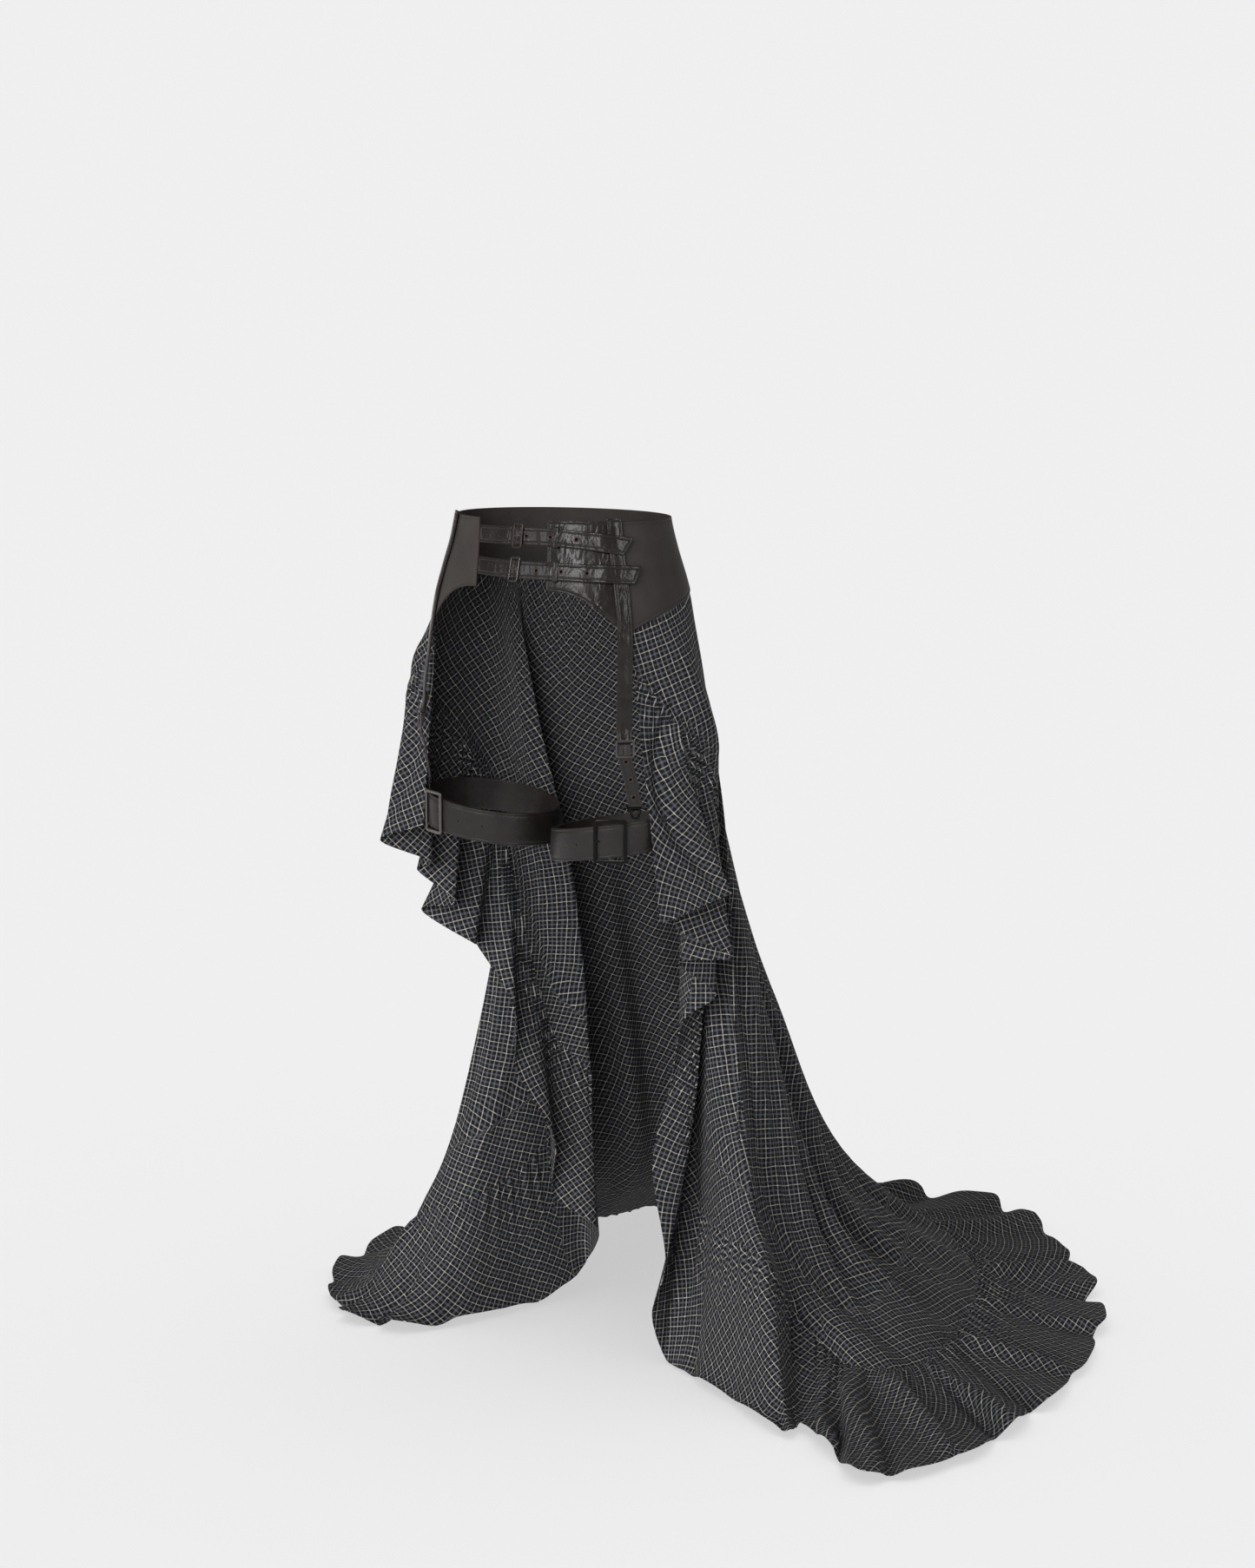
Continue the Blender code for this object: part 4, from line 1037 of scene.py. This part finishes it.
ANKLE_SHARE = 0.70
THIGH_SHARE = 0.42
# The cascades' lines swell over the thigh by a share of their drop, between two angles from the back.
SWELL_SHARE = 0.05
SWELL_MOST = 0.006
SWELL_ANGLES = (57, 112)
# How the hem flares below the seam: at the very front, past an angle from the back, and elsewhere.
FRONT_ANGLE = 124
FRONT_FLARE = 0.9
CASCADE_FLARE = 1.35
HEM_LIFT = 0.002
# Columns of TRAIN_FOLDS: place along TRAIN in lines, half width in lines, depth, share of the
# length at which the fold starts.
TRAIN_FOLDS = (
    (5.1, 0.50, 0.016, 0.30),
    (6.5, 0.60, 0.026, 0.25),
    (7.7, 0.50, 0.018, 0.35),
    (8.8, 0.55, 0.022, 0.30),
    (9.9, 0.50, 0.016, 0.40),
    (11.0, 0.55, 0.022, 0.30),
    (12.2, 0.55, 0.018, 0.35),
    (13.4, 0.55, 0.022, 0.30),
    (14.6, 0.50, 0.016, 0.25),
)
FOLD_CREST = 0.72
FOLD_AT_SEAM = 0.35
CHECK_PITCH = 0.0111
CREAM_LINE = 0.0009
BLUE_LINE = 0.0022
LINE_SOFTNESS = 0.00025
CHECK_SWAY = 0.0035
TWILL_PITCH = 0.0013
CLOTH = 0.0012
CLOTH_SEAM_GAP = 0.0001
FLOOR_WAVES = 30
FLOOR_WAVE_HEIGHT = 0.018
FLOOR_WAVE_REACH = 0.011
WAVE_DRIFT = (0.9, 3.7)
WAVE_CHANGE = (0.35, 2.3)
WAVE_CALM = (15.0, 2.2)
WAVE_LEAN = 0.75
WAVE_SHIFT = 0.8
CREASE_FADE = 0.8
TRIAL_POINTS = 1500
# Columns of a hanging line: five points of the body, the last of them on the seam, then the hem,
# how free it hangs, its flare and its angle.
BODY = slice(0, 15)
SEAM = slice(12, 15)
HEM = slice(15, 18)
FREE = slice(18, 19)
FLARE = slice(19, 20)
ANGLE = 20


def between_lines(lines, place):
    """Values at places among lines, curving no further past a line than its nearer neighbour."""
    step = np.diff(lines, axis=0)
    length = np.linalg.norm(step[:, :HEM.stop], axis=1)[:, None]
    slope = np.zeros_like(lines)
    slope[1:-1] = (step[1:] / length[1:] + step[:-1] / length[:-1]) / 2
    slope[1:-1] *= np.minimum(length[1:], length[:-1])
    slope[0] = step[0]
    slope[-1] = step[-1]
    first = np.clip(np.floor(place).astype(int), 0, len(lines) - 2)
    part = (place - first)[:, None]
    return cubic(part, lines[first], lines[first + 1], slope[first], slope[first + 1])


def hanging_lines():
    """Points of each hanging line from yoke to hem, then how free it hangs, its flare and angle."""
    lines = []
    for table in (LEFT_CASCADE, TRAIN, RIGHT_CASCADE[::-1]):
        for angle, *rest in table:
            row = np.array(rest) / 1000
            top, away = hip_point(angle, yoke_edge(angle) - 2 * SEAM_GAP)
            level_away = away * (1, 1, 0)
            if table is TRAIN:
                free = 0.0
                seam = row[5:8]
                hem = np.append(row[8:], FLOOR + HEM_LIFT)
                knee = np.append(row[1:3], KNEE)
                ankle = np.append(row[3:5], KNEE + ANKLE_SHARE * (seam[2] - KNEE))
                thigh = top + (knee - top) * THIGH_SHARE + level_away * row[0]
            else:
                free = 1.0
                seam, hem = row[:3], row[3:]
                drop = seam - top
                swells = SWELL_ANGLES[0] < abs(angle - 90) < SWELL_ANGLES[1]
                swell = min(SWELL_SHARE * np.linalg.norm(drop), SWELL_MOST) if swells else 0.0
                thigh, knee, ankle = (top + drop * (out, out, fall) + level_away * swell
                                      for fall, out in FALLS_OUT)
            flare = FRONT_FLARE if abs(angle - 90) > FRONT_ANGLE else CASCADE_FLARE if free else 1.0
            lines.append(np.concatenate([top, thigh, knee, ankle, seam, hem, [free, flare, angle]]))
    return np.array(lines)


def fold_depth(place, down):
    """How deep the train's long folds are at a line and a share of its length."""
    depth = np.zeros(np.broadcast(place, down).shape)
    for centre, half_width, deepest, begin in TRAIN_FOLDS:
        across = np.clip(1 - ((place - len(LEFT_CASCADE) - centre) / half_width) ** 2, 0, 1) ** 2
        depth += deepest * across * np.interp(down, [begin, FOLD_CREST, 1], [0, 1, FOLD_AT_SEAM])
    return depth


def hem_wave(place):
    """Uneven waves of the hem on the floor, from -1 to 1."""
    drift = WAVE_DRIFT[0] * np.sin(2 * math.pi * place / WAVE_DRIFT[1])
    change = WAVE_CHANGE[0] * np.sin(2 * math.pi * place / WAVE_CHANGE[1])
    size = (1 - WAVE_CHANGE[0] + change) * np.clip(abs(place - WAVE_CALM[0]) / WAVE_CALM[1], 0, 1)
    turn = 2 * math.pi * place * FLOOR_WAVES / len(TRAIN) + drift
    return np.sin(turn + WAVE_LEAN * np.sin(turn + WAVE_SHIFT)) * size


def puckers(length, pitch):
    """Uneven small gathers along a length in metres, from -1 to 1."""
    turn = 2 * math.pi * length / pitch
    return (0.55 * np.sin(turn + 1.7 * np.sin(turn / 5.3)) + 0.30 * np.sin(turn / 1.62 + 1.1)
            + 0.15 * np.sin(turn / 0.77 + 0.4))


def body_grid(place, down):
    """Middle points of the body along the hanging lines."""
    knots = between_lines(LINES, place)[:, BODY].reshape(-1, 5, 3)
    run = lengths(knots, 1)
    body = np.stack([smooth(at, line, down * at[-1]) for at, line in zip(run, knots)])
    depth = fold_depth(place[:, None], down[None, :])
    return body + grid_normal(body) * -depth[..., None]


def ruffle_grid(place, down, seam):
    """Middle points of the ruffle below its seam."""
    lines = between_lines(LINES, place)
    hem, free, flare = lines[:, HEM], lines[:, FREE], lines[:, FLARE]
    wave = hem_wave(place)[:, None]
    outward = unit((hem - seam) * (1, 1, 0))
    grid = np.zeros((len(place), len(down), 3))
    for row, part in enumerate(down):
        flat = seam + (hem - seam) * part ** flare
        flat[:, 2:] = seam[:, 2:] + (hem[:, 2:] - seam[:, 2:]) * (1 - (1 - part) ** (2 - free))
        grid[:, row] = flat + outward * wave * FLOOR_WAVE_REACH * part * (1 - free)
        grid[:, row, 2:] += (0.5 + 0.5 * wave) * FLOOR_WAVE_HEIGHT * part * (1 - free)
    return grid


def draw_back(grid):
    """Move a grid's first row half a seam gap into the cloth, square to that edge."""
    along = unit(np.gradient(grid[:, 0], axis=0))
    inward = grid[:, 1] - grid[:, 0]
    inward -= along * np.sum(inward * along, axis=1, keepdims=True)
    grid[:, 0] += unit(inward) * CLOTH_SEAM_GAP / 2


def plaid():
    """Woven check: near-black ground, a cream line each pitch both ways, a blue-grey one between."""
    finish = Finish("plaid_cloth", Roughness=0.92, Specular_IOR_Level=0.06)
    cut = finish.add("ShaderNodeUVMap", {"uv_map": "cut"}, {})
    across = finish.add("ShaderNodeSeparateXYZ", {}, {"Vector": cut}, "X")
    warp = across + (finish.noise(finish.place(), 26.0, 3.0) - 0.5) * CHECK_SWAY
    weft = Signal(finish, across.socket.node.outputs["Y"]) + (
        finish.noise(finish.place(1.1, 0.9, 1.0), 31.0, 3.0) - 0.5) * CHECK_SWAY

    def line(across, shift, width):
        off = abs((across / CHECK_PITCH + shift).fraction() - 0.5) * CHECK_PITCH
        return ((width / 2 - off) / LINE_SOFTNESS + 0.5).limited()

    fibre = finish.noise(finish.place(), 520.0, 4.0)
    twill = ((warp + weft) / TWILL_PITCH).fraction()
    cream = (line(warp, 0.0, CREAM_LINE) * (0.66 - twill * 0.24)
             + line(weft, 0.0, CREAM_LINE) * (0.46 + twill * 0.24))
    blue = line(warp, 0.5, BLUE_LINE) * 0.5 + line(weft, 0.5, BLUE_LINE) * 0.5
    ground = finish.blend(fibre, (0.0044, 0.0044, 0.0051, 1), (0.0112, 0.0115, 0.0131, 1))
    striped = finish.blend(blue * (0.5 + fibre), ground, (0.061, 0.064, 0.073, 1))
    bead = finish.noise(finish.place(), 330.0, 2.0)
    colour = finish.blend((cream * (bead * 2.6 - 0.35)).limited(), striped, (0.300, 0.289, 0.260, 1))
    crush = finish.noise(finish.place(), 60.0, 3.0, 0.4)
    height = crush + abs(twill - 0.5) * 0.10 + fibre * 0.10
    return finish.finished(colour, height, 0.40, 0.0014)


def flattened(grid, columns, rows):
    """Cut pattern of a cloth grid: a coarse copy is unwrapped flat and scaled to its real area."""
    picks = [np.unique(np.linspace(0, size - 1, count).round().astype(int))
             for size, count in zip(grid.shape, (columns, rows))]
    coarse = grid[np.ix_(*picks)]
    index = np.arange(coarse[..., 0].size).reshape(coarse.shape[:2])
    mesh = mesh_of("pattern", coarse.reshape(-1, 3), cells(index).tolist())
    mesh.uv_layers.new(name="cut")
    piece = shown("pattern", mesh)
    bpy.context.view_layer.objects.active = piece
    bpy.ops.object.mode_set(mode="EDIT")
    bpy.ops.mesh.select_all(action="SELECT")
    bpy.ops.uv.unwrap(method="MINIMUM_STRETCH", fill_holes=False, correct_aspect=False, margin=0.0,
                      iterations=12)
    bpy.ops.object.mode_set(mode="OBJECT")
    corner_cut = np.empty(len(mesh.loops) * 2, dtype=np.float32)
    mesh.uv_layers["cut"].uv.foreach_get("vector", corner_cut)
    flat = np.zeros((index.size, 2))
    flat[corner_points(mesh)] = corner_cut.reshape(-1, 2)
    flat = flat.reshape(*index.shape, 2)
    bpy.data.objects.remove(piece)
    real, drawn = (sum(np.linalg.norm(np.diff(points, axis=axis), axis=-1).sum() for axis in (0, 1))
                   for points in (coarse, flat))
    flat *= real / drawn
    for axis in (0, 1):
        flat = np.apply_along_axis(
            lambda line: np.interp(np.arange(grid.shape[axis]), picks[axis], line), axis, flat)
    return flat


def grained(cut, place, down, grain):
    """Cut pattern turned so that its grain has an angle to the hanging line at one spot."""
    column = int(np.clip(np.searchsorted(place, grain[0]), 1, len(place) - 2))
    row = int(np.clip(np.searchsorted(down, grain[1]), 1, len(down) - 2))
    fall = cut[column, row + 1] - cut[column, row - 1]
    angle = math.radians(grain[2] - 90) - math.atan2(fall[1], fall[0])
    cosine, sine = math.cos(angle), math.sin(angle)
    return cut @ np.array([[cosine, sine], [-sine, cosine]])


def creased(cut, place, down, creases):
    """How deep soft creases push the cloth in, each drawn between two spots of the flat cut."""
    depth = np.zeros(cut.shape[:2])
    for first, first_down, last, last_down, half_width, deepest in creases:
        start, end = (cut[np.searchsorted(place, at), np.searchsorted(down, share)]
                      for at, share in ((first, first_down), (last, last_down)))
        way = end - start
        share = np.clip(((cut - start) @ way) / (way @ way), 0, 1)
        off = np.linalg.norm(cut - start - share[..., None] * way, axis=-1)
        across = np.exp(-(off * 1000 / half_width) ** 2)
        depth += deepest / 1000 * across * (1 - (2 * share - 1) ** 6 * CREASE_FADE)
    return depth


def puckered(grid, from_seam, gather, free_edge, puff, coarseness, grain, place, down, creases):
    """Cloth grid pushed in and out by the gathers of its seam and its creases, and its flat cut."""
    height, start, reach = puff
    cut = grained(flattened(grid, *coarseness), place, down, grain)
    push = height * gather * np.clip(from_seam / start, 0, 1) * np.exp(-from_seam / reach) * free_edge
    push -= creased(cut, place, down, creases) * (np.clip(from_seam / CREASE_START, 0, 1) * free_edge)
    return grid + grid_normal(grid) * push[..., None], cut


# Columns: place and share of the way down at both ends, half width and depth in millimetres, which
# is below zero for a ridge.
BODY_CREASES = {
    "left": (
        (0.4, 0.60, 2.1, 0.96, 5, 2.2),
        (0.5, 0.86, 1.5, 0.97, 3.2, 1.6),
        (0.2, 0.74, 1.0, 0.90, 3, 1.4),
        (2.2, 0.30, 3.3, 0.90, 9, -3.5),
        (3.9, 0.10, 4.9, 0.90, 11, 3),
    ),
    "back": (
        (13.0, 0.60, 13.8, 0.74, 11, 10),
        (13.8, 0.74, 14.2, 0.95, 11, 11),
        (15.6, 0.50, 16.6, 0.96, 15, -9),
        (16.8, 0.50, 18.0, 0.97, 15, 11),
        (17.9, 0.50, 19.2, 0.97, 17, -10),
        (19.0, 0.55, 20.2, 0.97, 16, 11),
        (20.0, 0.55, 21.1, 0.97, 18, -9),
        (21.0, 0.55, 22.2, 0.97, 18, 10),
        (23.4, 0.55, 23.8, 0.97, 18, -9),
        (25.0, 0.55, 25.2, 0.97, 18, 9),
        (26.8, 0.55, 26.6, 0.97, 18, -9),
        (28.4, 0.55, 28.0, 0.97, 17, 9),
        (30.4, 0.45, 30.0, 0.96, 10, 7),
        (31.4, 0.40, 31.0, 0.96, 9, -5),
    ),
    "right": (
        (45.7, 0.55, 44.6, 0.96, 5, 2.2),
        (45.6, 0.80, 45.0, 0.97, 3.2, 1.4),
        (44.0, 0.30, 43.0, 0.90, 9, -3),
    ),
}
RUFFLE_CREASES = {
    "left": (
        (0.62, 0.03, 0.74, 0.95, 8, 8),
        (1.30, 0.02, 1.60, 0.55, 6, 3),
        (2.10, 0.02, 2.30, 0.60, 6, 3),
    ),
    "back": (
        (15.1, 0.03, 15.1, 0.30, 9, 6),
        (16.2, 0.03, 16.4, 0.98, 9, -9),
        (16.8, 0.03, 17.1, 0.98, 11, -11),
        (17.5, 0.03, 17.9, 0.98, 14, -15),
        (18.4, 0.03, 18.7, 0.98, 11, -11),
        (19.3, 0.03, 19.8, 0.98, 15, -16),
        (20.4, 0.03, 20.7, 0.98, 12, -12),
        (21.3, 0.03, 21.8, 0.98, 16, -15),
        (22.6, 0.03, 22.8, 0.98, 13, -12),
        (24.2, 0.03, 24.0, 0.98, 15, -14),
        (25.7, 0.03, 25.9, 0.98, 13, -13),
        (27.3, 0.03, 27.0, 0.98, 15, -14),
        (28.8, 0.03, 28.6, 0.98, 12, -12),
        (29.9, 0.03, 29.7, 0.98, 12, -13),
    ),
    "right": (
        (45.3, 0.03, 45.2, 0.90, 8, 6),
        (44.5, 0.02, 44.4, 0.60, 6, 3),
    ),
}

LINES = hanging_lines()
plaid_cloth = plaid()
GATHER_PITCH = 0.0125
# Gathers at the seam: their height, how far from it they are full, how far they reach.
BODY_PUFF = (0.0015, 0.004, 0.014)
RUFFLE_PUFF = (0.0034, 0.006, 0.045)
# Points round and down of the coarse grids that are unwrapped flat.
BODY_COARSE = (260, 20)
RUFFLE_COARSE = (320, 12)
CREASE_START = 0.010
FREE_EDGE = 0.15
YOKE_TUCK = 0.005
TUCK = (0.0020, 0.012)
LOWEST = FLOOR + 0.0014
first_train = len(LEFT_CASCADE) - 0.5
last_train = len(LEFT_CASCADE) + len(TRAIN) - 0.5
# Columns: side, first and last place among the lines, columns of points, then for the body and for
# the ruffle the flat cut (width, length, area), and a place and a share of the way down where the
# grain is set, with its angle to the hanging line there.
SPANS = (
    ("left", 0.0, first_train, 451, (0.34, 0.72, 0.10), (1.0, 0.5, 3.0),
     (0.62, 0.24, 0.105), (3.0, 0.5, 78.0)),
    ("back", first_train, last_train, 1101, (1.90, 1.25, 0.93), (14.5, 0.7, 0.0),
     (2.75, 0.19, 0.52), (14.5, 0.6, 45.0)),
    ("right", last_train, len(LINES) - 1.0, 451, (0.34, 0.66, 0.11), (45.0, 0.5, 28.0),
     (0.62, 0.24, 0.125), (44.0, 0.5, 45.0)),
)
body_down = np.concatenate([np.linspace(0, 0.9, 36), np.linspace(0.9, 1, 19)[1:]])
ruffle_down = np.concatenate([np.linspace(0, 0.3, 17), np.linspace(0.3, 1, 25)[1:]])
for side, begin, end, count, body_cut, body_grain, ruffle_cut, ruffle_grain in SPANS:
    trial = np.linspace(begin, end, TRIAL_POINTS)
    trial_lines = between_lines(LINES, trial)
    run = lengths(trial_lines[:, SEAM], 0) + lengths(trial_lines[:, HEM], 0)
    place = np.interp(np.linspace(0, run[-1], count), run, trial)
    body = body_grid(place, body_down)
    ruffle = ruffle_grid(place, ruffle_down, body[:, -1])
    gather = puckers(lengths(body[:, -1], 0), GATHER_PITCH)[:, None]
    free_edge = np.clip(np.minimum(place - begin, end - place) / FREE_EDGE, 0, 1)[:, None]
    body, body_flat = puckered(
        body, lengths(body[:, ::-1], 1)[:, ::-1], gather, free_edge, BODY_PUFF, BODY_COARSE, body_grain,
        place, body_down, BODY_CREASES[side])
    ruffle, ruffle_flat = puckered(
        ruffle, lengths(ruffle, 1), gather, free_edge, RUFFLE_PUFF, RUFFLE_COARSE, ruffle_grain,
        place, ruffle_down, RUFFLE_CREASES[side])
    ruffle[..., 2] = np.maximum(ruffle[..., 2], LOWEST)
    tuck = TUCK[0] * np.clip(1 - lengths(body, 1) / TUCK[1], 0, 1) ** 2
    hip_away = hip_point(between_lines(LINES, place)[:, ANGLE], body[:, 0, 2])[1]
    body = body - hip_away[:, None] * tuck[..., None]
    body_away = grid_normal(body)
    ruffle_away = grid_normal(ruffle)
    body_away[:, -1] = ruffle_away[:, 0] = unit(body_away[:, -1] + ruffle_away[:, 0])
    for grid in (body[:, ::-1], ruffle, *(np.swapaxes(grid, 0, 1) for grid in (
            body, body[::-1], ruffle, ruffle[::-1]))):
        draw_back(grid)
    body[:, 0] += UP * YOKE_TUCK
    for piece, flat_cut, node, held, above, grid, away, flat, step in (
            ("plaid", body_cut, "skirt", "hung", "yoke", body, body_away, body_flat, 2),
            ("hem", ruffle_cut, "ruffle", "gathered", f"plaid_{side}", ruffle, ruffle_away, ruffle_flat, 1)):
        outer, inner = (grid + away * reach for reach in (CLOTH / 2, -CLOTH / 2))
        piece = closed_shell(f"{piece}_{side}", outer[::step], inner[::step], plaid_cloth, flat[::step])
        belongs(piece, f"{node}_{side}")
        width, length, area = flat_cut
